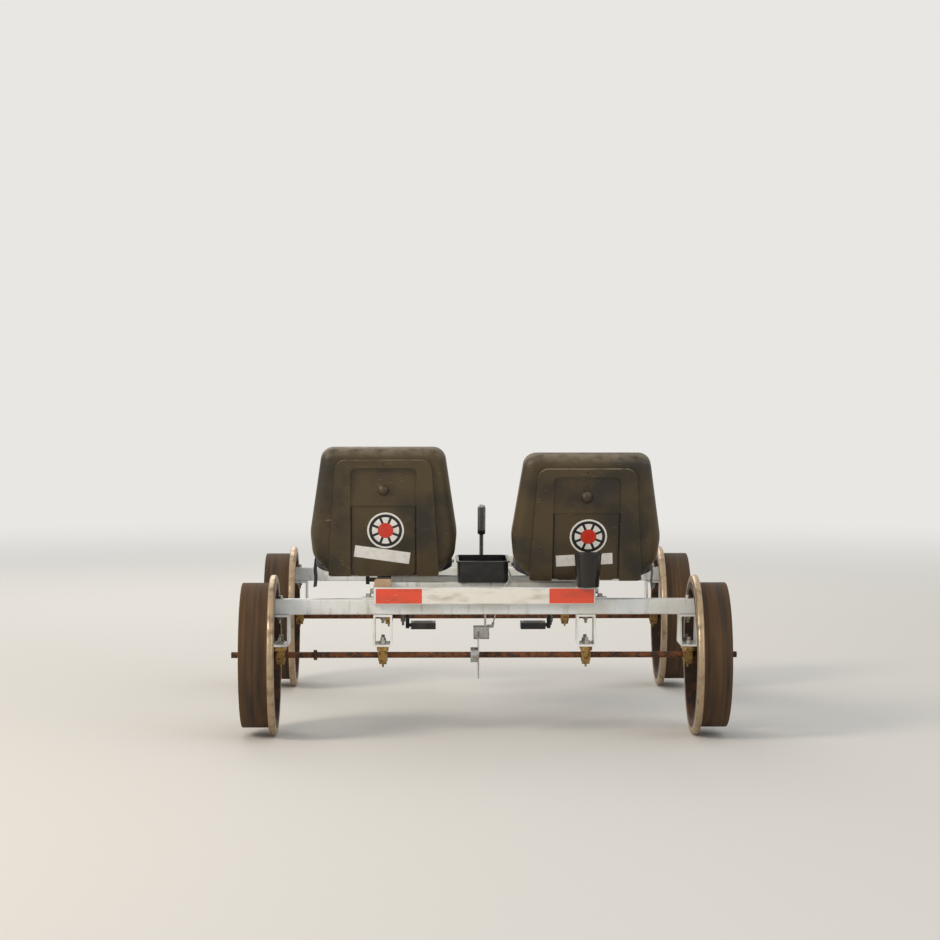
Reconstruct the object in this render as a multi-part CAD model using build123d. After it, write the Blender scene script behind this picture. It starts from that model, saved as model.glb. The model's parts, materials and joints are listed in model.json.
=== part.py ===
from build123d import *
import math
import os

# Two-seat side-by-side pedal railcar for standard-gauge track.
# Millimetres and degrees. X right, Y forwards, Z up from the underside of the wheel flanges,
# Y = 0 midway between the axles.

os.makedirs("parts", exist_ok=True)

# Track and wheels
track_gauge = 1435.0
flange_play = 7.5
wheelbase = 1400.0
flange_radius = 266.0
flange_thickness = 23.0
flange_height = 26.0
tyre_thickness = 10.0
tread_width = 93.0
rim_wall = 10.0
web_thickness = 8.0
web_setback = 28.0
hub_radius = 34.0
hub_inner_gap = 5.0
hub_length = 80.0
web_hole_radius = 33.0
web_hole_count = 6
web_fillet = 7.0
edge_round_share = 0.4
cut_past = 5.0

# Axles and their bearings
axle_radius = 10.0
axle_end_overhang = 37.0
axle_nut_flats = 36.0
axle_nut_length = 16.0
collar_radius = 17.0
collar_width = 12.0
collar_setback = 116.0
running_gap = 0.05
bearing_height = 33.3
bearing_base_length = 127.0
bearing_base_width = 38.0
bearing_base_thickness = 14.0
bearing_ring_radius = 31.0
bearing_cast_width = 25.0
bearing_shoulder = 42.0
bearing_base_corner = 12.0
bearing_insert_radius = 20.0
bearing_insert_width = 31.0
bearing_bolt_spacing = 95.0
bearing_bolt_flats = 18.0
bearing_bolt_head = 8.0
bearing_foot_lip = 2.0
nipple_radius = 3.5
nipple_length = 12.0
nipple_sunk = 3.0

# Frame tubes
boom_offset = 337.0
tube_wall = 3.0
beam_size = 50.8
beam_dish_reach = 13.0
boom_width = 50.8
boom_height = 50.8
tube_corner = 5.0
end_plate_thickness = 8.0
end_plate_width = 56.0
end_plate_rise = 17.0
end_plate_corner = 9.0
hanger_bend = 9.0
hanger_width = 62.0
hanger_wall = 6.5
hanger_drop = 103.0
hanger_foot_half = 66.0
hanger_top_half = 40.0
outer_hanger_inset = 23.0
cleat_width = 44.0
cleat_length = 34.0
cleat_thickness = 6.0
bumper_height = 57.0
bumper_depth = 25.4
bumper_half_length = 366.0
bumper_lap = 41.0
cross_bar_size = 30.0
cross_bar_drop = 10.9
cross_bar_setbacks = (200.0, 490.0, 850.0)

# Pedal drive
bracket_setback = 280.0
bracket_drop = 25.0
bracket_shell_radius = 20.5
bracket_shell_length = 68.0
bracket_lug_width = 44.0
bracket_lug_length = 36.0
spindle_radius = 8.5
crank_length = 170.0
crank_offset = 74.0
crank_thickness = 14.0
crank_hub_radius = 18.0
crank_eye_radius = 13.0
pedal_spindle_radius = 7.0
pedal_gap = 6.0
pedal_width = 92.0
pedal_length = 88.0
pedal_height = 26.0
pedal_corner = 7.0
pedal_bar = 12.0
pedal_spindle_seat = 10.0
chain_pitch = 12.7
chainline = 55.0
ring_teeth = 44
sprocket_teeth = 16
ring_window_circle = 52.0
ring_window_radius = 19.0
ring_window_count = 5
sprocket_hub_radius = 22.0
sprocket_hub_length = 18.0
tooth_plate = 2.4
roller_radius = 3.9
chain_pin_radius = 2.3
tooth_tip_share = 0.9
link_height = 8.6
link_plate = 1.2
link_inner_gap = 4.0

# Seats
seat_pivot_height = 62.0
seat_rear_setback = 25.0
seat_travel = 195.0
left_seat_place = 175.0
right_seat_place = 15.0
rail_offset = 150.0
rail_width = 30.0
rail_height = 14.0
rail_length = 414.0
rail_wall = 5.0
runner_play = 1.0
rail_end_gap = 6.0
rail_plate_inset = 52.0
rail_plate_length = 372.0
rail_plate_width = 50.0
rail_plate_thickness = 6.0
slide_width = 26.0
slide_height = 12.0
slide_length = 380.0
slide_inset = 10.0
slide_gap = 0.3
rail_floor = 2.5
pan_half_width = 228.0
pan_depth = 400.0
pan_setback = 58.0
pan_height = 20.0
pan_wall = 5.0
pan_corner = 45.0
cushion_thickness = 66.0
cushion_half_width = 218.0
cushion_setback = 80.0
cushion_front_gap = 3.0
cushion_edge = 18.0
soft_gap = 0.3
ear_offset = 164.0
ear_thickness = 6.0
ear_radius = 13.0
ear_foot_gap = 2.0
ear_foot_height = 2.0
ear_heel_reach = 36.0
ear_heel_flare = 5.0
ear_toe_drop = 8.0
pin_radius = 6.0
pin_length = 34.0
pin_seat_depth = 1.0
ear_side_gap = 5.0
boss_end = 212.0
back_rear = 26.0
back_front = 30.0
back_foot_reach = 50.0
back_wall = 8.0
back_roll = 34.0
back_top = 388.0
back_bottom = -46.0
back_shoulder = (205.0, back_top, 45.0)
back_waist = (248.0, back_top - 290.0, 160.0)
back_hip = (240.0, back_top - 370.0, 70.0)
back_foot = (188.0, back_bottom, 40.0)
panel_rise = 12.0
panel_top_half = 160.0
panel_foot_half = 187.0
panel_top_drop = 33.0
panel_corner = 35.0
recess_half = 112.0
recess_top_drop = 59.0
recess_floor = 4.0
recess_corner = 20.0
ledge_drop = 191.0
door_half = 105.0
door_rise = 8.0
door_corner = 23.0
knob_drop = 138.0
knob_radius = 21.0
screw_hole_drop = 46.0
screw_hole_radius = 3.5
back_cushion_inset = 24.0
back_cushion_front = 68.0
back_cushion_seat = 2.6
back_cushion_bottom = 45.0
belt_width = 46.0
belt_thickness = 2.0
belt_setback = 170.0
belt_foot_height = 2.0
belt_bend = 20.0

# Brake and centre tray
disc_radius = 80.0
disc_thickness = 3.2
disc_x = -20.0
disc_hub_radius = 25.0
disc_hub_length = 24.0
disc_hole_radius = 4.0
disc_hole_count = 12
disc_hole_circles = ((52.0, 0.0), (66.0, 15.0))
caliper_length = 52.0
caliper_inner_width = 16.0
caliper_outer_width = 36.0
caliper_reach = 26.0
caliper_rise = 16.0
caliper_corner = 7.0
caliper_roof = 11.0
pad_gap = 1.5
hanger_strap_start = 20.0
hanger_strap_thickness = 6.0
hanger_strap_length = 40.0
cable_arm_height = 10.0
cable_arm_width = 8.0
cable_arm_start = 30.0
tray_half_width = 85.0
tray_setback = 170.0
tray_length = 314.0
tray_height = 72.0
tray_wall = 3.0
tray_corner = 18.0
tray_lip = 6.0
tray_lip_height = 5.0
lever_gap = 38.0
lever_rod_radius = 7.0
lever_lean = 70.0
lever_rise = 212.0
lever_root_height = 34.0
lever_root_y = 4.0
lever_cheek_height = 44.0
lever_cheek_width = 12.0
lever_cheek_y = (-14.0, 26.0)
lever_foot_width = 40.0
lever_foot_y = (-16.0, 28.0)
lever_foot_thickness = 5.0
lever_grip_radius = 12.0
lever_grip_length = 92.0
cable_radius = 2.5
ferrule_radius = 4.5
ferrule_length = 16.0
run_share = 0.45

# Cup
cup_x = 339.0
cup_setback = 66.6
cup_top_radius = 45.5
cup_bottom_radius = 37.0
cup_height = 112.0
cup_wall = 2.5
cup_plate_thickness = 5.0
cup_plate_half = 30.0
cup_bead_radius = 2.2

# Places worked out from the sizes above
axle_z = flange_radius
rear_axle_y = -wheelbase / 2
front_axle_y = wheelbase / 2
tread_radius = flange_radius - flange_height
rim_radius = tread_radius - tyre_thickness
rim_inner_radius = rim_radius - rim_wall
flange_out = track_gauge / 2 - flange_play
flange_in = flange_out - flange_thickness
beam_half_length = flange_in + beam_dish_reach
outer_hanger_offset = beam_half_length - outer_hanger_inset
collar_x = collar_setback - outer_hanger_offset
rim_out = flange_out + tread_width
web_in = flange_out + web_setback
hub_in = flange_out + hub_inner_gap
hub_out = hub_in + hub_length
axle_end = rim_out + axle_end_overhang
hanger_foot_z = axle_z + bearing_height
beam_bottom = hanger_foot_z + hanger_drop
beam_top = beam_bottom + beam_size
boom_bottom = beam_top
boom_top = boom_bottom + boom_height
frame_end_y = wheelbase / 2 + beam_size / 2
boom_end_y = frame_end_y - end_plate_thickness
bumper_top = boom_bottom + bumper_lap
cross_bar_top = boom_top - cross_bar_drop
bracket_z = boom_bottom - bracket_drop
rail_bottom = boom_top + rail_plate_thickness
rail_top = rail_bottom + rail_height
slide_bottom = rail_top + slide_gap
pan_bottom = slide_bottom + slide_height
cushion_bottom = pan_bottom + pan_wall + soft_gap
cushion_top = cushion_bottom + cushion_thickness
pivot_z = boom_top + seat_pivot_height
pivot_rear_limit = rear_axle_y + seat_rear_setback
pivot_front_limit = pivot_rear_limit + seat_travel
rail_start_y = pivot_front_limit + back_foot_reach + rail_end_gap
rail_end_y = rail_start_y + rail_length
panel_rear = back_rear + panel_rise
bracket_y = front_axle_y - bracket_setback
cross_bar_places = [rear_axle_y + setback for setback in cross_bar_setbacks]
tray_start_y = rear_axle_y + tray_setback
tray_end_y = tray_start_y + tray_length
lever_y = tray_end_y + lever_gap
cup_y = -frame_end_y - cup_setback

# Each seat: side of the car, fore-and-aft place of the back's pivot, lean of the back at rest
seats = {
    "left": (-1, pivot_rear_limit + left_seat_place, 10.0),
    "right": (1, pivot_rear_limit + right_seat_place, 20.0),
}


def box(x0, x1, y0, y1, z0, z1):
    """A block between two corners."""
    return Pos((x0 + x1) / 2, (y0 + y1) / 2, (z0 + z1) / 2) * Box(x1 - x0, y1 - y0, z1 - z0)


def rod_x(radius, x0, x1, y, z):
    """A round bar along X."""
    return Pos((x0 + x1) / 2, y, z) * Rot(0, 90, 0) * Cylinder(radius, x1 - x0)


def rod_between(radius, start, end):
    """A round bar from one point to another."""
    line = Line(start, end)
    return sweep(Plane(origin=line @ 0, z_dir=line % 0) * Circle(radius), path=line)


def hollow_tube(x0, x1, y0, y1, z0, z1, along):
    """Rectangular tube of even wall, open at both ends, running along X or Y."""
    wall_x = 0 if along == "x" else tube_wall
    wall_y = 0 if along == "y" else tube_wall
    inside = box(x0 + wall_x, x1 - wall_x, y0 + wall_y, y1 - wall_y, z0 + tube_wall, z1 - tube_wall)
    outside = box(x0, x1, y0, y1, z0, z1)
    outside = fillet(outside.edges().filter_by(Axis.X if along == "x" else Axis.Y), tube_corner)
    inside = fillet(inside.edges().filter_by(Axis.X if along == "x" else Axis.Y), tube_corner - tube_wall)
    return outside - inside


def plate_yz(outline, x0, x1):
    """A flat plate cut to an outline in the YZ plane, between two X places."""
    return extrude(Plane.YZ.offset(x0) * outline, x1 - x0)


def turned(points, rounds):
    """A face for revolving: an outline of (x, radius) points, and the rounding of some of them."""
    face = make_face(Polyline(*points, close=True))
    for (x, height), radius in rounds.items():
        corners = [v for v in face.vertices() if abs(v.X - x) < 0.001 and abs(v.Y - height) < 0.001]
        face = fillet(corners, radius)
    return face


def save(name, *solids):
    """Write one node, as one solid or as several that belong together."""
    shape = solids[0] if len(solids) == 1 else Compound(children=[s for s in solids])
    shape.label = name
    export_step(shape, f"parts/{name}.step")


# Wheels: a dished flanged rim with a drilled web, and a rubber band on its tread

def wheel_steel():
    web_out = web_in + web_thickness
    outline = [
        (hub_in, axle_radius), (hub_out, axle_radius), (hub_out, hub_radius), (web_out, hub_radius),
        (web_out, rim_inner_radius), (rim_out, rim_inner_radius), (rim_out, rim_radius),
        (flange_out, rim_radius), (flange_out, flange_radius), (flange_in, flange_radius),
        (flange_in, rim_inner_radius), (web_in, rim_inner_radius), (web_in, hub_radius), (hub_in, hub_radius),
    ]
    rounds = {(x, flange_radius): flange_thickness * edge_round_share for x in (flange_out, flange_in)}
    for x in (web_in, web_out):
        rounds |= {(x, hub_radius): web_fillet, (x, rim_inner_radius): web_fillet}
    wheel = revolve(turned(outline, rounds), Axis.X, 360)
    hole_ring = (hub_radius + rim_inner_radius) / 2
    for k in range(web_hole_count):
        turn = Rot(360 / web_hole_count * k, 0, 0)
        wheel -= turn * rod_x(web_hole_radius, web_in - cut_past, web_out + cut_past, 0, hole_ring)
    return wheel


def wheel_tyre():
    outline = [
        (flange_out, rim_radius), (rim_out, rim_radius), (rim_out, tread_radius), (flange_out, tread_radius),
    ]
    rounds = {(rim_out, tread_radius): tyre_thickness * edge_round_share}
    return revolve(turned(outline, rounds), Axis.X, 360)


def on_axle(shape, y, side):
    """Set a right-hand wheel part on an axle; the left side is its mirror image."""
    placed = Pos(0, y, axle_z) * shape
    return placed if side > 0 else mirror(placed, about=Plane.YZ)


def axle(y, collars):
    bar = rod_x(axle_radius, -axle_end, axle_end, y, axle_z)
    nut_face = extrude(RegularPolygon(axle_nut_flats / 2, 6, major_radius=False), axle_nut_length)
    for side in (-1, 1):
        start = hub_out if side > 0 else -hub_out - axle_nut_length
        bar += Pos(start, y, axle_z) * Rot(0, 90, 0) * nut_face
    for x in collars:
        bar += rod_x(collar_radius, x - collar_width / 2, x + collar_width / 2, y, axle_z)
    return bar


steel = wheel_steel()
tyre = wheel_tyre()
for row_name, axle_y in (("rear", rear_axle_y), ("front", front_axle_y)):
    for side_name, side in (("left", -1), ("right", 1)):
        save(f"{row_name}_{side_name}_wheel", on_axle(steel, axle_y, side))
    save(f"{row_name}_tyres", on_axle(tyre, axle_y, -1), on_axle(tyre, axle_y, 1))
save("rear_axle", axle(rear_axle_y, (collar_x,)))
save("front_axle", axle(front_axle_y, ()))


# Bearings: pillow blocks hung upside down, base against the foot of a hanger

def pillow_block(x, y):
    """Cast housing on a two-bolt base, with the insert's ring proud on both faces and a nipple below."""
    half, reach = bearing_base_width / 2, bearing_base_length / 2
    base_z = hanger_foot_z - bearing_base_thickness
    base = box(x - half, x + half, y - reach, y + reach, base_z, hanger_foot_z)
    base = fillet(base.edges().filter_by(Axis.Z), bearing_base_corner)
    feet = Pos(0, base_z - axle_z) * Rectangle(2 * bearing_shoulder, bearing_foot_lip)
    housing = make_hull((Circle(bearing_ring_radius) + feet).edges())
    cast_half = bearing_cast_width / 2
    block = base + Pos(0, y, axle_z) * plate_yz(housing, x - cast_half, x + cast_half)
    insert_half = bearing_insert_width / 2
    block += rod_x(bearing_insert_radius, x - insert_half, x + insert_half, y, axle_z)
    nipple_z = axle_z - bearing_ring_radius
    block += Pos(x, y, nipple_z - nipple_sunk) * Cylinder(nipple_radius, nipple_length)
    for bolt_y in (-bearing_bolt_spacing / 2, bearing_bolt_spacing / 2):
        bolt = extrude(RegularPolygon(bearing_bolt_flats / 2, 6, major_radius=False), bearing_bolt_head)
        block += Pos(x, y + bolt_y, base_z - bearing_bolt_head) * bolt
    return block - rod_x(axle_radius + running_gap, x - half, x + half, y, axle_z)


def hanger(x, y):
    side = Polyline(
        (y - hanger_foot_half, hanger_foot_z), (y + hanger_foot_half, hanger_foot_z),
        (y + hanger_top_half, beam_bottom), (y - hanger_top_half, beam_bottom), close=True,
    )
    half = hanger_width / 2
    block = plate_yz(make_face(side), x - half, x + half)
    window = box(
        x - half + hanger_wall, x + half - hanger_wall, y - hanger_foot_half, y + hanger_foot_half,
        hanger_foot_z + hanger_wall, beam_bottom - hanger_wall,
    )
    bends = block.faces().sort_by(Axis.Z)[0].edges().filter_by(Axis.Y)
    block = fillet(bends, hanger_bend)
    return block - window


bearing_places = (-outer_hanger_offset, -boom_offset, boom_offset, outer_hanger_offset)
for row_name, axle_y in (("rear", rear_axle_y), ("front", front_axle_y)):
    save(f"{row_name}_bearings", *[pillow_block(x, axle_y) for x in bearing_places])
    save(f"{row_name}_hangers", *[hanger(x, axle_y) for x in bearing_places])
    half = beam_size / 2
    beam = hollow_tube(
        -beam_half_length, beam_half_length, axle_y - half, axle_y + half, beam_bottom, beam_top, "x",
    )
    save(f"{row_name}_beam", beam)
    outward = -1 if axle_y < 0 else 1
    face = outward * frame_end_y
    near, far = sorted((face, face + outward * bumper_depth))
    bar = hollow_tube(
        -bumper_half_length, bumper_half_length, near, far, bumper_top - bumper_height, bumper_top, "x",
    )
    save(f"{row_name}_bumper", bar)


# Booms: two fore-and-aft tubes over the beams, each with bolted cleats on its sides
def boom(side):
    x = side * boom_offset
    half = boom_width / 2
    tube = hollow_tube(x - half, x + half, -boom_end_y, boom_end_y, boom_bottom, boom_top, "y")
    for y in (rear_axle_y, front_axle_y):
        for edge in (-1, 1):
            inner = x + edge * half
            x0, x1 = sorted((inner, inner + edge * cleat_width))
            y0, y1 = y - cleat_length / 2, y + cleat_length / 2
            tube += box(x0, x1, y0, y1, boom_bottom, boom_bottom + cleat_thickness)
            x0, x1 = sorted((inner, inner + edge * cleat_thickness))
            tube += box(x0, x1, y0, y1, boom_bottom, boom_bottom + cleat_width)
    return tube


def end_plate(side, end):
    """Plate across a boom's end, standing up behind the bumper with rounded top corners."""
    x, half = side * boom_offset, end_plate_width / 2
    y0, y1 = sorted((end * boom_end_y, end * frame_end_y))
    plate = box(x - half, x + half, y0, y1, boom_bottom, boom_top + end_plate_rise)
    corners = plate.edges().filter_by(Axis.Y).sort_by(Axis.Z)[-2:]
    return fillet(corners, end_plate_corner)


save("left_boom", boom(-1))
save("right_boom", boom(1))
save("boom_end_plates", *[end_plate(side, end) for side in (-1, 1) for end in (-1, 1)])

inner_face = boom_offset - boom_width / 2
bars = []
for y in cross_bar_places:
    half = cross_bar_size / 2
    bars.append(hollow_tube(
        -inner_face, inner_face, y - half, y + half, cross_bar_top - cross_bar_size, cross_bar_top, "x",
    ))
save("cross_bars", *bars)


# Pedal drive: a spindle in a shell under each boom, cranks, pedals, ring, chain and sprocket

def toothed_plate(teeth, bore):
    """A flat chain wheel in the YZ plane with straight-sided teeth."""
    pitch_radius = chain_pitch / (2 * math.sin(math.pi / teeth))
    root = pitch_radius - roller_radius
    tip = pitch_radius + roller_radius * tooth_tip_share
    step = 2 * math.pi / teeth
    points = []
    for k in range(teeth):
        for share, radius in ((-0.30, root), (-0.10, tip), (0.10, tip), (0.30, root)):
            angle = (k + 0.5 + share) * step
            points.append((radius * math.cos(angle), radius * math.sin(angle)))
    return make_face(Polyline(*points, close=True)) - Circle(bore)


def arm_outline(end_y, end_z):
    """Crank arm seen from the side: two eyes joined by straight flanks."""
    eyes = Circle(crank_hub_radius) + Pos(end_y, end_z) * Circle(crank_eye_radius)
    return make_hull(eyes.edges())


def crankset(side):
    """Inner arm down, outer arm up, chain ring inboard of the boom."""
    x = side * boom_offset
    half = crank_thickness / 2
    shape = rod_x(spindle_radius, x - crank_offset - half, x + crank_offset + half, bracket_y, bracket_z)
    for reach, drop in ((-side, -1), (side, 1)):
        centre = x + reach * crank_offset
        arm = plate_yz(arm_outline(0, drop * crank_length), centre - half, centre + half)
        bore = pedal_spindle_radius + running_gap
        arm -= rod_x(bore, centre - crank_thickness, centre + crank_thickness, 0, drop * crank_length)
        shape += Pos(0, bracket_y, bracket_z) * arm
    ring_x = x - side * chainline
    teeth = toothed_plate(ring_teeth, spindle_radius)
    ring = plate_yz(teeth, ring_x - tooth_plate / 2, ring_x + tooth_plate / 2)
    for k in range(ring_window_count):
        turn = Rot(360 / ring_window_count * k, 0, 0)
        ring -= turn * rod_x(ring_window_radius, ring_x - cut_past, ring_x + cut_past, 0, ring_window_circle)
    shape += Pos(0, bracket_y, bracket_z) * ring
    x0, x1 = sorted((ring_x, x - side * (crank_offset - half)))
    return shape + rod_x(crank_hub_radius, x0, x1, bracket_y, bracket_z)


def pedal(side, reach, drop):
    """Platform pedal with its spindle through the crank's eye, outboard of the arm."""
    x = side * boom_offset + reach * crank_offset
    start = x + reach * (crank_thickness / 2 + pedal_gap)
    x0, x1 = sorted((start, start + reach * pedal_width))
    y, z = bracket_y, bracket_z + drop * crank_length
    half_l, half_h = pedal_length / 2, pedal_height / 2
    body = box(x0, x1, y - half_l, y + half_l, z - half_h, z + half_h)
    body = fillet(body.edges().filter_by(Axis.X), pedal_corner)
    for y0, y1 in ((y - half_l + pedal_bar, y - pedal_bar), (y + pedal_bar, y + half_l - pedal_bar)):
        body -= box(x0 + pedal_bar, x1 - pedal_bar, y0, y1, z - pedal_height, z + pedal_height)
    pin0, pin1 = sorted((x - reach * crank_thickness / 2, start + reach * pedal_spindle_seat))
    return body + rod_x(pedal_spindle_radius, pin0, pin1, y, z)


def bottom_bracket(side):
    x = side * boom_offset
    half = bracket_shell_length / 2
    shell = rod_x(bracket_shell_radius, x - half, x + half, bracket_y, bracket_z)
    lug_x, lug_y = bracket_lug_width / 2, bracket_lug_length / 2
    shell += box(x - lug_x, x + lug_x, bracket_y - lug_y, bracket_y + lug_y, bracket_z, boom_bottom)
    return shell - rod_x(spindle_radius + running_gap, x - half, x + half, bracket_y, bracket_z)


def chain_loop(side):
    """Both rows of link plates as closed loops round ring and sprocket, tied by pins on the runs."""
    r1 = chain_pitch / (2 * math.sin(math.pi / ring_teeth))
    r2 = chain_pitch / (2 * math.sin(math.pi / sprocket_teeth))
    dy, dz = front_axle_y - bracket_y, axle_z - bracket_z
    reach = math.hypot(dy, dz)
    heading = math.degrees(math.atan2(dz, dy))
    wrap = math.degrees(math.acos((r1 - r2) / reach))
    half_link = link_height / 2
    loop = None
    for grow, sign in ((half_link, 1), (-half_link, -1)):
        eyes = Circle(r1 + grow) + Pos(dy, dz) * Circle(r2 + grow)
        face = make_hull(eyes.edges())
        loop = face if sign > 0 else loop - face
    x = side * boom_offset - side * chainline
    inner = link_inner_gap / 2
    chain = plate_yz(loop, x + inner, x + inner + link_plate)
    chain += plate_yz(loop, x - inner - link_plate, x - inner)
    run = reach * math.sin(math.radians(wrap))
    count = int(run / (2 * chain_pitch)) - 2
    for flank in (-1, 1):
        angle = math.radians(heading + flank * wrap)
        start_y, start_z = r1 * math.cos(angle), r1 * math.sin(angle)
        end_y, end_z = dy + r2 * math.cos(angle), dz + r2 * math.sin(angle)
        for k in range(count):
            t = (k + 1.5) / (count + 2)
            pin_y, pin_z = start_y + (end_y - start_y) * t, start_z + (end_z - start_z) * t
            chain += rod_x(chain_pin_radius, x - inner, x + inner, pin_y, pin_z)
    return Pos(0, bracket_y, bracket_z) * chain


def sprocket(side):
    x = side * boom_offset - side * chainline
    plate = plate_yz(toothed_plate(sprocket_teeth, axle_radius), x - tooth_plate / 2, x + tooth_plate / 2)
    half = sprocket_hub_length / 2
    body = rod_x(sprocket_hub_radius, x - half, x + half, 0, 0) - rod_x(axle_radius, x - half, x + half, 0, 0)
    return Pos(0, front_axle_y, axle_z) * (plate + body)


for side_name, side in (("left", -1), ("right", 1)):
    save(f"{side_name}_crankset", crankset(side))
    save(f"{side_name}_inner_pedal", pedal(side, -side, -1))
    save(f"{side_name}_outer_pedal", pedal(side, side, 1))
    save(f"{side_name}_chain", chain_loop(side))
save("bottom_brackets", bottom_bracket(-1), bottom_bracket(1))
save("drive_sprockets", sprocket(-1), sprocket(1))


# Seats: rails over the boom, a sliding pan with ears, and a moulded back on two pins

def rail_plates(side):
    """Two cross plates over the boom, each under both rails."""
    x = side * boom_offset
    half_x, half_y = rail_plate_length / 2, rail_plate_width / 2
    rows = (rail_start_y + rail_plate_inset, rail_end_y - rail_plate_inset)
    return [box(x - half_x, x + half_x, y - half_y, y + half_y, boom_top, rail_bottom) for y in rows]


def seat_rails(side):
    """Two fixed channel rails, fore and aft, on the cross plates, open upwards for the runners."""
    half, floor = rail_width / 2, rail_bottom + rail_floor
    rails = []
    for c in (side * boom_offset - rail_offset, side * boom_offset + rail_offset):
        rail = box(c - half, c + half, rail_start_y, rail_end_y, rail_bottom, rail_top)
        groove = half - rail_wall
        rails.append(rail - box(c - groove, c + groove, rail_start_y, rail_end_y, floor, rail_top))
    return rails


def seat_pan(side, pivot_y):
    x = side * boom_offset
    start = pivot_y + pan_setback
    end = start + pan_depth
    tray = box(x - pan_half_width, x + pan_half_width, start, end, pan_bottom, pan_bottom + pan_height)
    tray = fillet(tray.edges().filter_by(Axis.Z), pan_corner)
    wall = pan_wall
    inner = box(
        x - pan_half_width + wall, x + pan_half_width - wall, start + wall, end - wall,
        pan_bottom + wall, pan_bottom + pan_height,
    )
    tray -= fillet(inner.edges().filter_by(Axis.Z), pan_corner - wall)
    for edge in (-1, 1):
        centre = x + edge * rail_offset
        run0, run1 = start + slide_inset, start + slide_inset + slide_length
        slide_half = slide_width / 2
        tray += box(centre - slide_half, centre + slide_half, run0, run1, slide_bottom, pan_bottom)
        runner_half = rail_width / 2 - rail_wall - runner_play
        runner_foot = rail_bottom + rail_floor + runner_play
        tray += box(centre - runner_half, centre + runner_half, run0, run1, runner_foot, slide_bottom)
        ear_x = x + edge * ear_offset
        foot = pan_bottom - pivot_z + ear_foot_height
        eye = Circle(ear_radius)
        toe = cushion_setback - ear_foot_gap
        heel = (ear_heel_reach, -ear_radius - ear_heel_flare)
        tongue = make_face(Polyline(
            (0, -ear_radius), heel, (pan_setback, foot), (toe, foot), (toe, -ear_toe_drop), (0, ear_radius),
            close=True,
        ))
        ear = plate_yz(eye + tongue, ear_x - ear_thickness / 2, ear_x + ear_thickness / 2)
        x0, x1 = sorted((ear_x, ear_x + edge * pin_length))
        ear += rod_x(pin_radius, x0, x1, 0, 0)
        tray += Pos(0, pivot_y, pivot_z) * ear
    return tray


def back_outline(inset=0.0):
    """Front view of the back: rounded shoulders, full waist, narrow foot."""
    half = [back_shoulder, back_waist, back_hip, back_foot]
    points = [(x, z) for x, z, _ in half] + [(-x, z) for x, z, _ in reversed(half)]
    face = make_face(Polyline(*points, close=True))
    for x, z, radius in half:
        corners = [v for v in face.vertices() if abs(abs(v.X) - x) < 0.01 and abs(v.Y - z) < 0.01]
        face = fillet(corners, radius)
    return offset(face, -inset) if inset else face


def standing(face, y0, y1):
    """Extrude a front-view face from one Y place to another in the back's own frame."""
    plane = Plane(origin=(0, y1, 0), x_dir=(1, 0, 0), z_dir=(0, -1, 0))
    return extrude(plane * face, y1 - y0)


def panel_outline(inset=0.0):
    """Raised panel on the back's rear: wider at the foot, rounded at its top corners."""
    top = back_top - panel_top_drop - inset
    half_top, half_foot = panel_top_half - inset, panel_foot_half - inset
    foot = back_bottom + inset if inset else back_bottom - cut_past
    sides = ((-half_foot, foot), (half_foot, foot), (half_top, top), (-half_top, top))
    face = make_face(Polyline(*sides, close=True))
    top_corners = [v for v in face.vertices() if v.Y > top - 1]
    return fillet(top_corners, panel_corner - inset) & back_outline(inset)


def recess_outline(grow=0.0):
    """Channel down the middle of the panel, open at the foot."""
    top, foot = back_top - recess_top_drop + grow, back_bottom - recess_corner - cut_past
    half = recess_half + grow
    face = Pos(0, (top + foot) / 2) * Rectangle(2 * half, top - foot)
    return fillet([v for v in face.vertices() if v.Y > top - 1], recess_corner)


def seat_back():
    """Moulded tub open to the front, with a raised panel, a channel, a door, a knob and two pin bosses."""
    tub = standing(back_outline(), -back_rear, back_front)
    tub = fillet(tub.faces().sort_by(Axis.Y)[0].edges(), back_roll)
    pocket = standing(back_outline(back_wall), -back_rear + back_wall, back_front + 1)
    pocket = fillet(pocket.faces().sort_by(Axis.Y)[0].edges(), back_roll - back_wall)
    panel = standing(panel_outline(), -panel_rear, -back_rear + back_wall)
    panel_cavity = panel_outline(back_wall) - recess_outline(back_wall)
    tub = tub - pocket + panel
    tub -= standing(panel_cavity, -panel_rear + back_wall, -back_rear + back_wall)
    floor_y = -back_rear + recess_floor
    tub -= standing(recess_outline(), -panel_rear - 1, floor_y)
    door_top, door_foot = back_top - ledge_drop, back_bottom
    door = Pos(0, (door_top + door_foot) / 2) * Rectangle(2 * door_half, door_top - door_foot)
    door = fillet([v for v in door.vertices() if v.Y < door_foot + 1], door_corner)
    tub += standing(door, floor_y - door_rise, floor_y)
    dome = Sphere(knob_radius, arc_size1=0, align=(Align.CENTER, Align.CENTER, Align.MIN))
    knob = Rot(90, 0, 0) * dome
    tub += Pos(0, floor_y, back_top - knob_drop) * knob
    screw_hole = Rot(90, 0, 0) * Cylinder(screw_hole_radius, panel_rise)
    tub -= Pos(0, -panel_rear, back_top - screw_hole_drop) * screw_hole
    for edge in (-1, 1):
        x0, x1 = sorted((edge * (ear_offset + ear_thickness / 2 + ear_side_gap), edge * boss_end))
        boss_foot = -back_rear + back_wall / 2
        boss = rod_x(ear_radius, x0, x1, 0, 0) + box(x0, x1, boss_foot, 0, -ear_radius, ear_radius)
        pin_end = ear_offset + pin_length + pin_seat_depth
        pin0, pin1 = sorted((edge * (ear_offset + ear_thickness / 2), edge * pin_end))
        tub += boss - rod_x(pin_radius + running_gap, pin0, pin1, 0, 0)
    return tub


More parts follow.
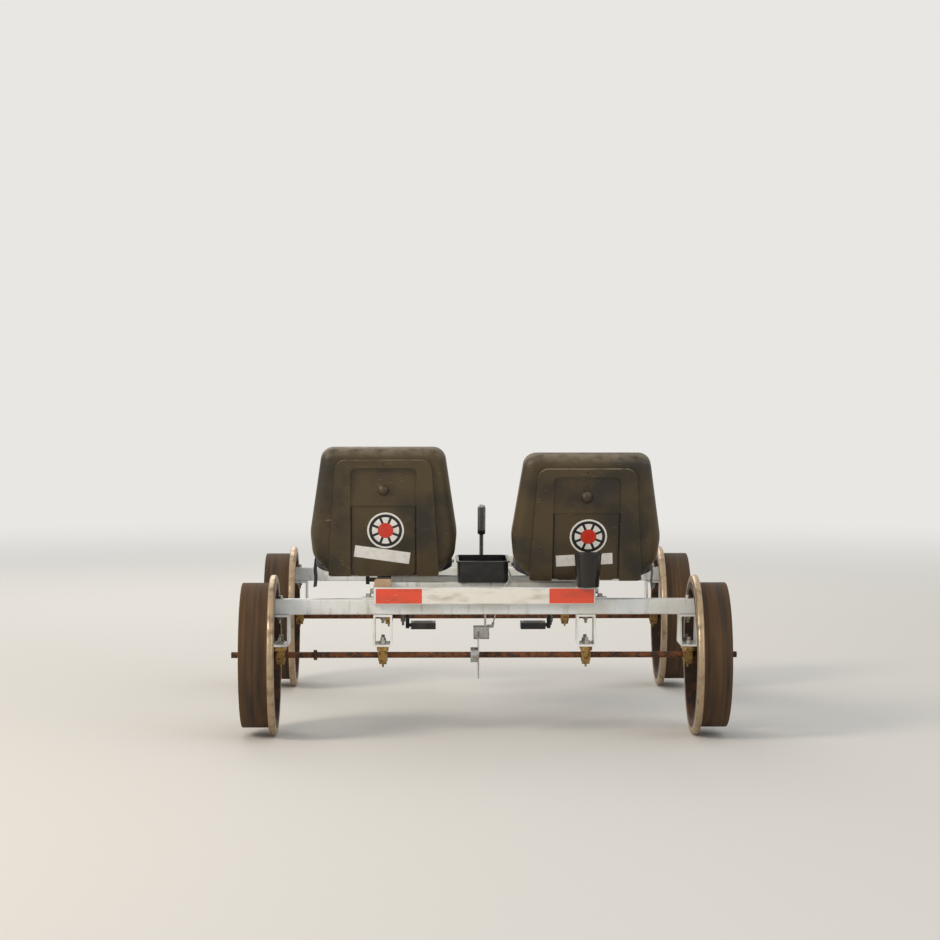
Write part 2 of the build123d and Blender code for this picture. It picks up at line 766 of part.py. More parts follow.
def back_cushion():
    rear = -back_rear + back_wall + back_cushion_seat
    pad = standing(back_outline(back_cushion_inset), rear, back_cushion_front)
    below = Plane.XY.offset(back_cushion_bottom)
    pad = split(pad, bisect_by=below, keep=Keep.TOP)
    return fillet(pad.faces().sort_by(Axis.Y)[-1].edges(), cushion_edge)


def seat_cushion(side, pivot_y):
    x = side * boom_offset
    start = pivot_y + cushion_setback
    end = pivot_y + pan_setback + pan_depth - pan_wall - cushion_front_gap
    half = cushion_half_width
    pad = box(x - half, x + half, start, end, cushion_bottom, cushion_top)
    pad = fillet(pad.edges().filter_by(Axis.Z), pan_corner - pan_wall)
    return fillet(pad.faces().sort_by(Axis.Z)[-1].edges(), cushion_edge)


def lap_belt(side, pivot_y):
    """Webbing from one side of the pan, over the cushion, to the other side."""
    x = side * boom_offset
    y0 = pivot_y + belt_setback
    half, crown, foot = pan_half_width + soft_gap, cushion_top + soft_gap, pan_bottom + belt_foot_height
    solids = []
    for grow in (belt_thickness, 0):
        past = cut_past if grow == 0 else 0
        block = box(
            x - half - grow, x + half + grow, y0 - past, y0 + belt_width + past, foot - past, crown + grow,
        )
        solids.append(fillet(block.edges().filter_by(Axis.Y).sort_by(Axis.Z)[-2:], belt_bend + grow))
    return solids[0] - solids[1]


save("rail_plates", *rail_plates(-1), *rail_plates(1))
save("seat_rails", *seat_rails(-1), *seat_rails(1))
shell = seat_back()
pad = back_cushion()
for side_name, (side, pivot_y, lean) in seats.items():
    place = Pos(side * boom_offset, pivot_y, pivot_z) * Rot(lean, 0, 0)
    save(f"{side_name}_seat_pan", seat_pan(side, pivot_y))
    save(f"{side_name}_seat_back", place * shell)
    save(f"{side_name}_back_cushion", place * pad)
    save(f"{side_name}_seat_cushion", seat_cushion(side, pivot_y))
    save(f"{side_name}_lap_belt", lap_belt(side, pivot_y))


# Brake: a disc in the middle of the rear axle, its caliper under the beam, a hand lever and cable
disc_left, disc_right = disc_x - disc_thickness / 2, disc_x + disc_thickness / 2
disc = rod_x(disc_radius, disc_left, disc_right, rear_axle_y, axle_z)
disc += rod_x(disc_hub_radius, disc_left - disc_hub_length, disc_x, rear_axle_y, axle_z)
for circle, start in disc_hole_circles:
    for k in range(disc_hole_count):
        turn = Rot(start + 360 / disc_hole_count * k, 0, 0)
        hole = turn * rod_x(disc_hole_radius, disc_left - cut_past, disc_right + cut_past, 0, circle)
        disc -= Pos(0, rear_axle_y, axle_z) * hole
disc -= rod_x(axle_radius, disc_left - disc_hub_length, disc_right, rear_axle_y, axle_z)
save("brake_disc", disc)

cable_route = [
    (6, -164, 530), (29, -164, 530), (57, -170, 524), (82, -192, 517), (93, -230, 515), (95, -280, 514),
    (94, -336, 513), (95, -396, 513), (93, -456, 513), (92, -516, 513), (90, -574, 510), (80, -622, 500),
    (62, -650, 478), (48, -658, 448), (41, -660, 416), (36, -666, 390), (30, -678, 370),
]


def cable_radii(route):
    """For each corner: a share of the shorter run, over the tangent of half the turn."""
    radii = []
    for a, b, c in zip(route, route[1:], route[2:]):
        first, second = Vector(*b) - Vector(*a), Vector(*c) - Vector(*b)
        turn = math.radians(first.get_angle(second))
        radii.append(run_share * min(first.length, second.length) / math.tan(turn / 2))
    return radii


radii = cable_radii(cable_route)
print("cable bend radii", [round(r) for r in radii])
cable_path = FilletPolyline(*cable_route, radius=radii)
cable = sweep(Plane(origin=cable_path @ 0, z_dir=cable_path % 0) * Circle(cable_radius), path=cable_path)
tube_volume = math.pi * cable_radius**2 * cable_path.length
print("cable length", round(cable_path.length), "volume share", round(cable.volume / tube_volume, 6))
save("brake_cable", cable)

caliper_bottom = axle_z + disc_radius - caliper_reach
caliper_top = axle_z + disc_radius + caliper_rise
half = caliper_length / 2
caliper = box(
    disc_x - caliper_inner_width, disc_x + caliper_outer_width, rear_axle_y - half, rear_axle_y + half,
    caliper_bottom, caliper_top,
)
caliper = fillet(caliper.edges().filter_by(Axis.X), caliper_corner)
caliper -= box(
    disc_left - pad_gap, disc_right + pad_gap, rear_axle_y - half, rear_axle_y + half,
    caliper_bottom, caliper_top - caliper_roof,
)
strap_x = disc_x + hanger_strap_start
half = hanger_strap_length / 2
caliper += box(
    strap_x, strap_x + hanger_strap_thickness, rear_axle_y - half, rear_axle_y + half,
    caliper_top, beam_bottom,
)
cable_end, half = cable_path @ 1, cable_arm_width / 2
ferrule_end = cable_end + (cable_path % 1) * ferrule_length
caliper += rod_between(ferrule_radius, cable_end, ferrule_end)
caliper += box(
    disc_x + cable_arm_start, ferrule_end.X + half, ferrule_end.Y - half, ferrule_end.Y + half,
    ferrule_end.Z - half / 2, ferrule_end.Z - half / 2 + cable_arm_height,
)
save("brake_caliper", caliper)

half = lever_cheek_width / 2
lever = box(
    -half, half, lever_y + lever_cheek_y[0], lever_y + lever_cheek_y[1], cross_bar_top,
    cross_bar_top + lever_cheek_height,
)
lever = fillet(lever.edges().filter_by(Axis.X).sort_by(Axis.Z)[-2:], lever_cheek_width)
half = lever_foot_width / 2
lever += box(
    -half, half, lever_y + lever_foot_y[0], lever_y + lever_foot_y[1], cross_bar_top,
    cross_bar_top + lever_foot_thickness,
)
lever_root = Vector(0, lever_y + lever_root_y, cross_bar_top + lever_root_height)
lever_line = Vector(0, -lever_lean, lever_rise)
lever_tip = lever_root + lever_line
grip_start = lever_tip - lever_line.normalized() * lever_grip_length
lever += rod_between(lever_rod_radius, lever_root, grip_start)
grip = rod_between(lever_grip_radius, grip_start, lever_tip)
lever += fillet(grip.edges(), lever_grip_radius / 3)
save("brake_lever", lever)

tray_top = cross_bar_top + tray_height
tray = box(-tray_half_width, tray_half_width, tray_start_y, tray_end_y, cross_bar_top, tray_top)
tray = fillet(tray.edges().filter_by(Axis.Z), tray_corner)
lip = box(
    -tray_half_width - tray_lip, tray_half_width + tray_lip, tray_start_y - tray_lip, tray_end_y + tray_lip,
    tray_top - tray_lip_height, tray_top,
)
lip = fillet(lip.edges().filter_by(Axis.Z), tray_corner + tray_lip)
half = tray_half_width - tray_wall
tray_inside = box(
    -half, half, tray_start_y + tray_wall, tray_end_y - tray_wall, cross_bar_top + tray_wall, tray_top,
)
save("centre_tray", tray + lip - fillet(tray_inside.edges().filter_by(Axis.Z), tray_corner - tray_wall))

# Cup on a plate over the end of the right boom
cup_bottom = bumper_top + cup_plate_thickness
cup_middle = Pos(cup_x, cup_y, cup_bottom + cup_height / 2)
cup_outer = cup_middle * Cone(cup_bottom_radius, cup_top_radius, cup_height)
cup_slope = (cup_top_radius - cup_bottom_radius) / cup_height
cup_inside = cup_middle * Pos(0, 0, cup_wall) * Cone(
    cup_bottom_radius - cup_wall, cup_top_radius - cup_wall + cup_slope * cup_wall, cup_height,
)
bead = Pos(cup_x, cup_y, cup_bottom + cup_height - cup_bead_radius) * Torus(cup_top_radius, cup_bead_radius)
save("rear_cup", cup_outer + bead - cup_inside)
save("cup_bracket", box(
    cup_x - cup_plate_half, cup_x + cup_plate_half, cup_y - cup_plate_half, -frame_end_y,
    bumper_top, cup_bottom,
))
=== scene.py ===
"""Looks of a two-seat pedal railcar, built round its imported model.

Metres throughout: X to the right, Y forwards, Z up from the underside of the wheel flanges.
"""

import json
import logging
import math
import random
from collections.abc import Callable, Iterator, Sequence
from contextlib import contextmanager
from dataclasses import dataclass
from enum import Enum

import bmesh
import bpy
from mathutils import Matrix, Vector
from mathutils.bvhtree import BVHTree


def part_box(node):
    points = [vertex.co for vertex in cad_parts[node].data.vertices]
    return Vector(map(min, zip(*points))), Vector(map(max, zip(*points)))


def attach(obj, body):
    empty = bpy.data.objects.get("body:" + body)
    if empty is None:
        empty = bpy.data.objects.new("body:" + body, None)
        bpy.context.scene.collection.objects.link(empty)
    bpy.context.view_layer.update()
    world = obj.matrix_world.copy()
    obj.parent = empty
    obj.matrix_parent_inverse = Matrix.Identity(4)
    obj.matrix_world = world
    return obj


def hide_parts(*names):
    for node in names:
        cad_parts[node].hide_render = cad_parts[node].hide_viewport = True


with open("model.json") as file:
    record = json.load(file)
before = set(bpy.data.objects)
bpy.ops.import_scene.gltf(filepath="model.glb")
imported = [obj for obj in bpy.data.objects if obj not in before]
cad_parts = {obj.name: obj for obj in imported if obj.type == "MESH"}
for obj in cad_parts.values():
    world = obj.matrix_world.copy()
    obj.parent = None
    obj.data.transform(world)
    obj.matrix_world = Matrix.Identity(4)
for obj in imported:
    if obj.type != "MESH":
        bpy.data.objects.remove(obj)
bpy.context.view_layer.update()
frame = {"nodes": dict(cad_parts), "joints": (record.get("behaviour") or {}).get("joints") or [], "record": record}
LOG = logging.getLogger("railcar")
MM = 0.001

Socket = bpy.types.NodeSocket
Fill = float | str | tuple[float, ...] | Socket
Place = tuple[float, float, float]
Object = bpy.types.Object
ALONG_X, ALONG_Y, ALONG_Z = Vector((1, 0, 0)), Vector((0, 1, 0)), Vector((0, 0, 1))
MIXED_COLOURS, MIXED_NUMBERS = (6, 7, 2), (2, 3, 0)


def linear(colour: str) -> tuple[float, float, float, float]:
    """Turn an sRGB hex colour into linear light.

    Args:
        colour: Six hex digits after a hash sign.

    Returns:
        Red, green, blue and an alpha of one.
    """
    shares = [int(colour[k:k + 2], 16) / 255 for k in (1, 3, 5)]
    red, green, blue = [s / 12.92 if s <= 0.04045 else ((s + 0.055) / 1.055) ** 2.4 for s in shares]
    return red, green, blue, 1.0


def plug(tree: bpy.types.NodeTree, socket: Socket, value: Fill) -> None:
    """Link an input to a socket, or set its own value, with a hex colour turned to linear light."""
    if isinstance(value, Socket):
        tree.links.new(value, socket)
    else:
        socket.default_value = linear(value) if isinstance(value, str) else value


def add_node(
    tree: bpy.types.NodeTree, kind: str, inputs: dict[str | int, Fill] | None = None, **settings: object
) -> bpy.types.Node:
    """Add one node, set its properties, and fill or link its inputs.

    Args:
        tree: The material's or world's node tree.
        kind: The node's type without its ShaderNode prefix.
        inputs: A value, hex colour or socket for each named or numbered input.
        **settings: Properties of the node itself.

    Returns:
        The new node.
    """
    node = tree.nodes.new("ShaderNode" + kind)
    for key, value in settings.items():
        setattr(node, key, value)
    for key, value in (inputs or {}).items():
        plug(tree, node.inputs[key], value)
    return node


class Sheet:
    """The node sheet of one material: a Principled surface, and the patterns that several finishes share."""

    def __init__(self, name: str) -> None:
        """Start a sheet with its output, its surface and its place on the object.

        Args:
            name: The material's name.
        """
        self.material = bpy.data.materials.new(name)
        self.material.use_nodes = True
        self.tree = self.material.node_tree
        self.tree.nodes.clear()
        self.surface = self.add("BsdfPrincipled")
        self.add("OutputMaterial", {"Surface": self.surface.outputs[0]})
        self.spot = self.add("TexCoord").outputs["Object"]

    def add(
        self, kind: str, inputs: dict[str | int, Fill] | None = None, **settings: object
    ) -> bpy.types.Node:
        """Add a node to this sheet; the arguments are those of add_node."""
        return add_node(self.tree, kind, inputs, **settings)

    def ramp(self, value: Fill, low: float, high: float, eased: bool = False) -> Socket:
        """Turn a value into a mask.

        Args:
            value: The value.
            low: Where the mask is 0.
            high: Where it is 1.
            eased: Whether it starts and ends softly.

        Returns:
            The mask.
        """
        inputs = {"Value": value, "From Min": low, "From Max": high}
        kind = "SMOOTHSTEP" if eased else "LINEAR"
        return self.add("MapRange", inputs, interpolation_type=kind).outputs[0]

    def length(self, spot: Socket) -> Socket:
        """How long a vector is."""
        return self.add("VectorMath", {0: spot}, operation="LENGTH").outputs["Value"]

    def patches(
        self, size_mm: float, low: float, high: float, stretch: Place = (1, 1, 1), spot: Socket | None = None
    ) -> Socket:
        """Cloudy patches with soft edges.

        Args:
            size_mm: Usual width of a patch.
            low: Noise level where a patch begins.
            high: Noise level where it is full.
            stretch: How many times longer a patch is along each axis.
            spot: Coordinates, if not the object's own.

        Returns:
            A mask from 0 to 1.
        """
        where = self.add("Mapping", {"Vector": spot or self.spot, "Scale": tuple(1 / s for s in stretch)})
        noise = self.add("TexNoise", {"Vector": where.outputs[0], "Scale": 1 / (size_mm * MM), "Detail": 5.0})
        return self.ramp(noise.outputs["Fac"], low, high, eased=True)

    def worn_edges(self, width_mm: float, low: float = 0.02, high: float = 0.2) -> Socket:
        """Find outer edges and corners, broken up as rubbing leaves them.

        Args:
            width_mm: How far the wear reaches from an edge.
            low: Turn of the surface where wear begins.
            high: Turn of the surface where it is full.

        Returns:
            A mask from 0 to 1.
        """
        eased = self.add("Bevel", {"Radius": width_mm * MM}, samples=6)
        flat = self.add("NewGeometry").outputs["Normal"]
        turn = self.add("VectorMath", {0: eased.outputs[0], 1: flat}, operation="DOT_PRODUCT")
        bent = self.add("Math", {0: 1.0, 1: turn.outputs["Value"]}, operation="SUBTRACT").outputs[0]
        return self.both(self.ramp(bent, low, high), self.patches(width_mm * 4, 0.35, 0.6))

    def upward(self, low: float, high: float) -> Socket:
        """Where dust settles: a mask that grows with how far the surface faces up, from low to high."""
        across = self.add("SeparateXYZ", {0: self.add("NewGeometry").outputs["Normal"]}).outputs["Z"]
        return self.ramp(across, low, high)

    def axle_radius(self, axle_y: float, axle_z: float) -> Socket:
        """Measure how far a point lies from the axle line of its own end of the car.

        Args:
            axle_y: How far the axles lie from the middle.
            axle_z: Their height.

        Returns:
            The distance in metres.
        """
        axes = self.add("SeparateXYZ", {0: self.spot})
        along = self.add("Math", {0: axes.outputs["Y"]}, operation="ABSOLUTE").outputs[0]
        centred = self.add("CombineXYZ", {
            "Y": self.add("Math", {0: along, 1: axle_y}, operation="SUBTRACT").outputs[0],
            "Z": self.add("Math", {0: axes.outputs["Z"], 1: axle_z}, operation="SUBTRACT").outputs[0],
        })
        return self.length(centred.outputs[0])

    def rings(self, radius: Socket, scale: float) -> Socket:
        """Turned or ground rings: noise that changes only with the radius."""
        across = self.add("CombineXYZ", {"X": radius}).outputs[0]
        return self.add("TexNoise", {"Vector": across, "Scale": scale}).outputs["Fac"]

    def pebbles(self, size_mm: float) -> Socket:
        """Rounded cells of a size, as a height."""
        return self.add("TexVoronoi", {"Vector": self.spot, "Scale": 1 / (size_mm * MM)}).outputs["Distance"]

    def both(self, first: Fill, second: Fill) -> Socket:
        """Where two masks both hold, or one mask thinned to a share."""
        return self.add("Math", {0: first, 1: second}, operation="MULTIPLY").outputs[0]

    def layered(self, base: Fill, *coats: tuple[Socket, Fill]) -> Socket:
        """Lay coats over a base, in order.

        Args:
            base: Colour or value underneath.
            *coats: A mask and a colour or value for each coat.

        Returns:
            The blended colour or value.
        """
        coloured = isinstance(base, str)
        kind = "RGBA" if coloured else "FLOAT"
        under, over, out = MIXED_COLOURS if coloured else MIXED_NUMBERS
        for mask, top in coats:
            base = self.add("Mix", {0: mask, under: base, over: top}, data_type=kind).outputs[out]
        return base

    def relief(self, *heights: tuple[Socket, float]) -> None:
        """Raise the surface by each height map in turn.

        Args:
            *heights: A height from 0 to 1, and its depth in millimetres.
        """
        normal: Socket | None = None
        for height, depth_mm in heights:
            inputs: dict[str | int, Fill] = {"Height": height, "Distance": depth_mm * MM}
            if normal:
                inputs["Normal"] = normal
            normal = self.add("Bump", inputs).outputs[0]
        self.tree.links.new(normal, self.surface.inputs["Normal"])

    def fill(self, **values: Fill) -> None:
        """Set or link inputs of the surface, named in lower case with underscores for spaces."""
        for key, value in values.items():
            plug(self.tree, self.surface.inputs[key.replace("_", " ").title().replace("Ior", "IOR")], value)


@dataclass(frozen=True)
class Finish:
    """A finish with a name of its own, made into a material once."""

    name: str

    def draw(self, sheet: Sheet) -> None:
        """Fill in the node sheet; each finish has its own."""
        raise NotImplementedError

    def material(self) -> bpy.types.Material:
        """Return the finish's material, drawn on first use."""
        found = bpy.data.materials.get(self.name)
        if found is None:
            sheet = Sheet(self.name)
            self.draw(sheet)
            found = sheet.material
        return found


@dataclass(frozen=True)
class BrushedEnamel(Finish):
    """Alkyd enamel, brushed on steel tube: soft gloss, faint brush marks, grime and rust at chips."""

    paint: str = "#ebeeed"
    aged: str = "#dad9d0"
    grime: str = "#8b7d66"
    rust: str = "#6a3b1f"

    def draw(self, sheet: Sheet) -> None:
        """Yellowing in patches, running grime, rust spots, and edges rubbed to rusty steel."""
        aged = sheet.patches(140, 0.42, 0.7)
        grime = sheet.both(sheet.patches(22, 0.52, 0.8, stretch=(1, 1, 4)), 0.5)
        dust = sheet.both(sheet.patches(60, 0.35, 0.7), sheet.both(sheet.upward(0.5, 1.0), 0.45))
        spots = sheet.patches(6, 0.7, 0.75)
        edges = sheet.worn_edges(1.6)
        colour = sheet.layered(
            self.paint, (aged, self.aged), (grime, self.grime), (dust, self.grime), (spots, self.rust),
            (edges, self.rust),
        )
        brush = sheet.patches(1.5, 0.3, 0.7, stretch=(14, 14, 1))
        sheet.relief((brush, 0.05), (spots, -0.15))
        sheet.fill(base_color=colour, roughness=sheet.layered(0.34, (grime, 0.6), (edges, 0.75)))


@dataclass(frozen=True)
class WheelSteel(Finish):
    """Cast steel wheel: oily dark rust on the disc, and a flange that the rail keeps bright, tinted tan as a
    painted reflection of warm sunlight.
    """

    body: str = "#40342b"
    rust: str = "#6b452a"
    # Bare steel of the flange and edges, worn bright, tinted tan as a painted sunlight reflection.
    bright: str = "#b7a184"
    axle_y: float = 0.7
    axle_z: float = 0.266
    tread_radius: float = 0.240

    def draw(self, sheet: Sheet) -> None:
        """The distance from the axle parts the bright flange from the dull disc."""
        radius = sheet.axle_radius(self.axle_y, self.axle_z)
        flange = sheet.ramp(radius, self.tread_radius - 2 * MM, self.tread_radius + 6 * MM, eased=True)
        rubbed = sheet.both(flange, sheet.layered(1.0, (sheet.patches(30, 0.45, 0.75), 0.45)))
        rust = sheet.patches(26, 0.42, 0.68)
        edges = sheet.worn_edges(2.0)
        sheet.relief((sheet.patches(2.5, 0.3, 0.7), 0.12), (sheet.rings(radius, 900.0), 0.04))
        # Edges and flange take the tan: worn bright steel with a painted sunlight tint.
        colour = sheet.layered(self.body, (rust, self.rust), (edges, self.bright), (rubbed, self.bright))
        sheet.fill(
            base_color=colour,
            metallic=sheet.layered(0.25, (edges, 0.8), (rubbed, 0.85)),
            roughness=sheet.layered(0.62, (rust, 0.8), (rubbed, 0.38)),
        )


@dataclass(frozen=True)
class TreadRubber(Finish):
    """Vulcanised rubber band, black where the rail wipes it and brown with dust in long streaks round it."""

    rubber: str = "#2d2620"
    dust: str = "#745433"
    clay: str = "#4a3826"

    def draw(self, sheet: Sheet) -> None:
        """Streaks are narrow across the tread and long round it."""
        streaks = sheet.patches(11, 0.3, 0.75, stretch=(1, 45, 45))
        cakes = sheet.patches(60, 0.35, 0.75, stretch=(0.6, 3, 3))
        sheet.relief((sheet.patches(1.2, 0.35, 0.65), 0.12), (streaks, 0.1))
        sheet.fill(
            base_color=sheet.layered(self.rubber, (cakes, self.clay), (sheet.both(streaks, 0.6), self.dust)),
            roughness=sheet.layered(0.72, (streaks, 0.9)), specular_ior_level=0.35,
        )


@dataclass(frozen=True)
class RustedSteel(Finish):
    """Plain steel bar left to the weather: layered brown rust over dark scale, rough to the eye."""

    scale: str = "#3a271c"
    rust: str = "#7b4a2a"
    fresh: str = "#9c6234"

    def draw(self, sheet: Sheet) -> None:
        """Scale, rust, then fresh orange bloom, with pits."""
        rust = sheet.patches(18, 0.38, 0.62)
        bloom = sheet.patches(6, 0.56, 0.72)
        sheet.relief((sheet.patches(1.6, 0.4, 0.7), 0.25))
        sheet.fill(
            base_color=sheet.layered(self.scale, (rust, self.rust), (bloom, self.fresh)),
            metallic=0.15, roughness=sheet.layered(0.68, (rust, 0.88)),
        )


@dataclass(frozen=True)
class CastIron(Finish):
    """Sand-cast iron with a yellow zinc wash: grainy, pale gold on the worn edges as partly wear and partly a
    painted highlight, and rusty in the low places.
    """

    wash: str = "#ad8d51"
    rust: str = "#6f4726"
    # Pale gold of the worn edges, lightened as a painted highlight.
    high: str = "#dcc389"

    def draw(self, sheet: Sheet) -> None:
        """The wash stays on, rust grows in patches, and the worn edges take a pale gold that is partly a painted
        highlight.
        """
        rust = sheet.patches(14, 0.45, 0.66)
        edges = sheet.worn_edges(1.8)
        sheet.relief((sheet.patches(1.1, 0.3, 0.7), 0.18))
        # The edges get the pale gold: worn wash with a painted highlight.
        sheet.fill(
            base_color=sheet.layered(self.wash, (rust, self.rust), (edges, self.high)),
            metallic=sheet.layered(0.65, (rust, 0.1)), roughness=sheet.layered(0.45, (rust, 0.85)),
        )


@dataclass(frozen=True)
class ZincPlate(Finish):
    """Zinc-plated mild steel: bluish grey, dull where white bloom has grown, brown at rubbed edges."""

    zinc: str = "#b2b3b1"
    bloom: str = "#8f8e88"
    rust: str = "#75492b"
    shine: float = 0.38
    crystal_mm: float = 9.0

    def draw(self, sheet: Sheet) -> None:
        """Soft crystals of plating, bloom over them, rust last."""
        bloom = sheet.patches(28, 0.42, 0.68)
        rust = sheet.both(sheet.patches(9, 0.58, 0.7), 0.8)
        edges = sheet.worn_edges(1.2)
        tone = sheet.both(sheet.pebbles(self.crystal_mm), 0.5)
        sheet.relief((sheet.patches(2.2, 0.3, 0.7), 0.03))
        sheet.fill(
            base_color=sheet.layered(
                self.zinc, (tone, self.bloom), (bloom, self.bloom), (rust, self.rust), (edges, self.rust)
            ),
            metallic=sheet.layered(0.9, (bloom, 0.6), (rust, 0.1)),
            roughness=sheet.layered(self.shine, (bloom, 0.62), (rust, 0.85)),
        )


@dataclass(frozen=True)
class MouldedShell(Finish):
    """Moulded polypropylene, black, with broad olive-brown patches that are painted warm sunlight:
    leather-grained, scuffed and dusty.
    """

    plastic: str = "#2c2519"
    # Olive-brown of the broad patches: painted warm sunlight on the black plastic.
    faded: str = "#4d3f24"
    dust: str = "#857a68"
    scuff: str = "#8b7b62"
    grain_mm: float = 2.2

    def draw(self, sheet: Sheet) -> None:
        """A pebbled grain, coarser than the real one so that it shows, with dust on what faces up."""
        # Broad patches of painted warm sunlight, in olive-brown.
        faded = sheet.patches(170, 0.36, 0.62)
        dust = sheet.both(sheet.patches(30, 0.25, 0.6), sheet.both(sheet.upward(0.15, 0.85), 0.8))
        scuffs = sheet.both(sheet.patches(2.6, 0.62, 0.7, stretch=(9, 9, 1)), sheet.patches(55, 0.5, 0.66))
        edges = sheet.both(sheet.worn_edges(2.5), 0.6)
        sheet.relief((sheet.pebbles(self.grain_mm), 0.16), (scuffs, -0.05))
        sheet.fill(
            base_color=sheet.layered(
                self.plastic, (faded, self.faded), (dust, self.dust), (scuffs, self.scuff),
                (edges, self.scuff),
            ),
            roughness=sheet.layered(0.46, (dust, 0.8), (scuffs, 0.6)),
        )


@dataclass(frozen=True)
class GrainedVinyl(Finish):
    """Expanded PVC leathercloth: fine pores and creases, a soft sheen, greyer where it is sat on."""

    skin: str = "#23201f"
    rubbed: str = "#3d3834"
    pore_mm: float = 2.0

    def draw(self, sheet: Sheet) -> None:
        """Pores drawn a little coarse so that they show, under shallow creases."""
        creases = sheet.patches(14, 0.3, 0.7, stretch=(2, 1, 1))
        rubbed = sheet.both(sheet.patches(90, 0.4, 0.66), 0.7)
        sheet.relief((sheet.pebbles(self.pore_mm), 0.2), (creases, 0.5))
        sheet.fill(
            base_color=sheet.layered(self.skin, (rubbed, self.rubbed)),
            roughness=sheet.layered(0.4, (rubbed, 0.55)), coat_weight=0.12, coat_roughness=0.35,
        )


@dataclass(frozen=True)
class SatinBlack(Finish):
    """Forged aluminium, anodised black: even satin, silver where shoes and chain have rubbed it."""

    coat: str = "#1d1d1f"
    bare: str = "#a7a49e"
    dust: str = "#5d4d38"

    def draw(self, sheet: Sheet) -> None:
        """Bare metal at edges and in long scuffs."""
        scuffs = sheet.patches(3, 0.64, 0.72, stretch=(1, 1, 12))
        edges = sheet.worn_edges(1.4)
        dust = sheet.both(sheet.patches(20, 0.45, 0.75), 0.5)
        bare = sheet.layered(scuffs, (edges, 1.0))
        sheet.relief((sheet.patches(1.0, 0.3, 0.7), 0.02))
        sheet.fill(
            base_color=sheet.layered(self.coat, (dust, self.dust), (bare, self.bare)),
            metallic=sheet.layered(0.6, (bare, 0.95)), roughness=sheet.layered(0.36, (dust, 0.7)),
        )


@dataclass(frozen=True)
class OilySteel(Finish):
    """Carbon steel under old oil: bright flats, black grease in the corners, a brown tint of rust."""

    steel: str = "#7c7366"
    grease: str = "#221d18"
    rust: str = "#6d4829"

    def draw(self, sheet: Sheet) -> None:
        """Grease first, then rust specks."""
        grease = sheet.patches(8, 0.42, 0.62)
        rust = sheet.patches(5, 0.58, 0.72)
        sheet.relief((sheet.patches(0.8, 0.3, 0.7), 0.03))
        sheet.fill(
            base_color=sheet.layered(self.steel, (grease, self.grease), (rust, self.rust)),
            metallic=sheet.layered(0.95, (grease, 0.3), (rust, 0.2)),
            roughness=sheet.layered(0.32, (grease, 0.42), (rust, 0.8)),
        )


@dataclass(frozen=True)
class MouldedPlastic(Finish):
    """Injection-moulded ABS or nylon: even, faintly sparked texture, dust in it and dull scratches."""

    plastic: str = "#1c1c1d"
    dust: str = "#5c4f3d"
    gloss: float = 0.42
    dusty: float = 0.5

    def draw(self, sheet: Sheet) -> None:
        """Spark texture, dust that lies on top, and scratches."""
        lying = sheet.layered(self.dusty * 0.5, (sheet.upward(0.2, 0.9), self.dusty))
        dust = sheet.both(sheet.patches(24, 0.4, 0.72), lying)
        scratches = sheet.patches(1.6, 0.66, 0.7, stretch=(10, 1, 4))
        sheet.relief((sheet.patches(0.9, 0.35, 0.65), 0.05), (scratches, -0.05))
        faint = sheet.both(scratches, 0.4)
        sheet.fill(
            base_color=sheet.layered(self.plastic, (dust, self.dust), (faint, self.dust)),
            roughness=sheet.layered(self.gloss, (dust, 0.75), (scratches, 0.6)),
        )


@dataclass(frozen=True)
class GroundSteel(Finish):
    """Stainless brake disc, ground flat: fine rings round the axle and a film of rust at the rim."""

    steel: str = "#b9bab8"
    film: str = "#86603f"
    axle_y: float = 0.7
    axle_z: float = 0.266

    def draw(self, sheet: Sheet) -> None:
        """Rings drawn from the distance to the axle."""
        film = sheet.patches(16, 0.5, 0.75)
        sheet.relief((sheet.rings(sheet.axle_radius(self.axle_y, self.axle_z), 1200.0), 0.05))
        sheet.fill(
            base_color=sheet.layered(self.steel, (film, self.film)),
            metallic=sheet.layered(1.0, (film, 0.4)), roughness=sheet.layered(0.3, (film, 0.6)),
        )


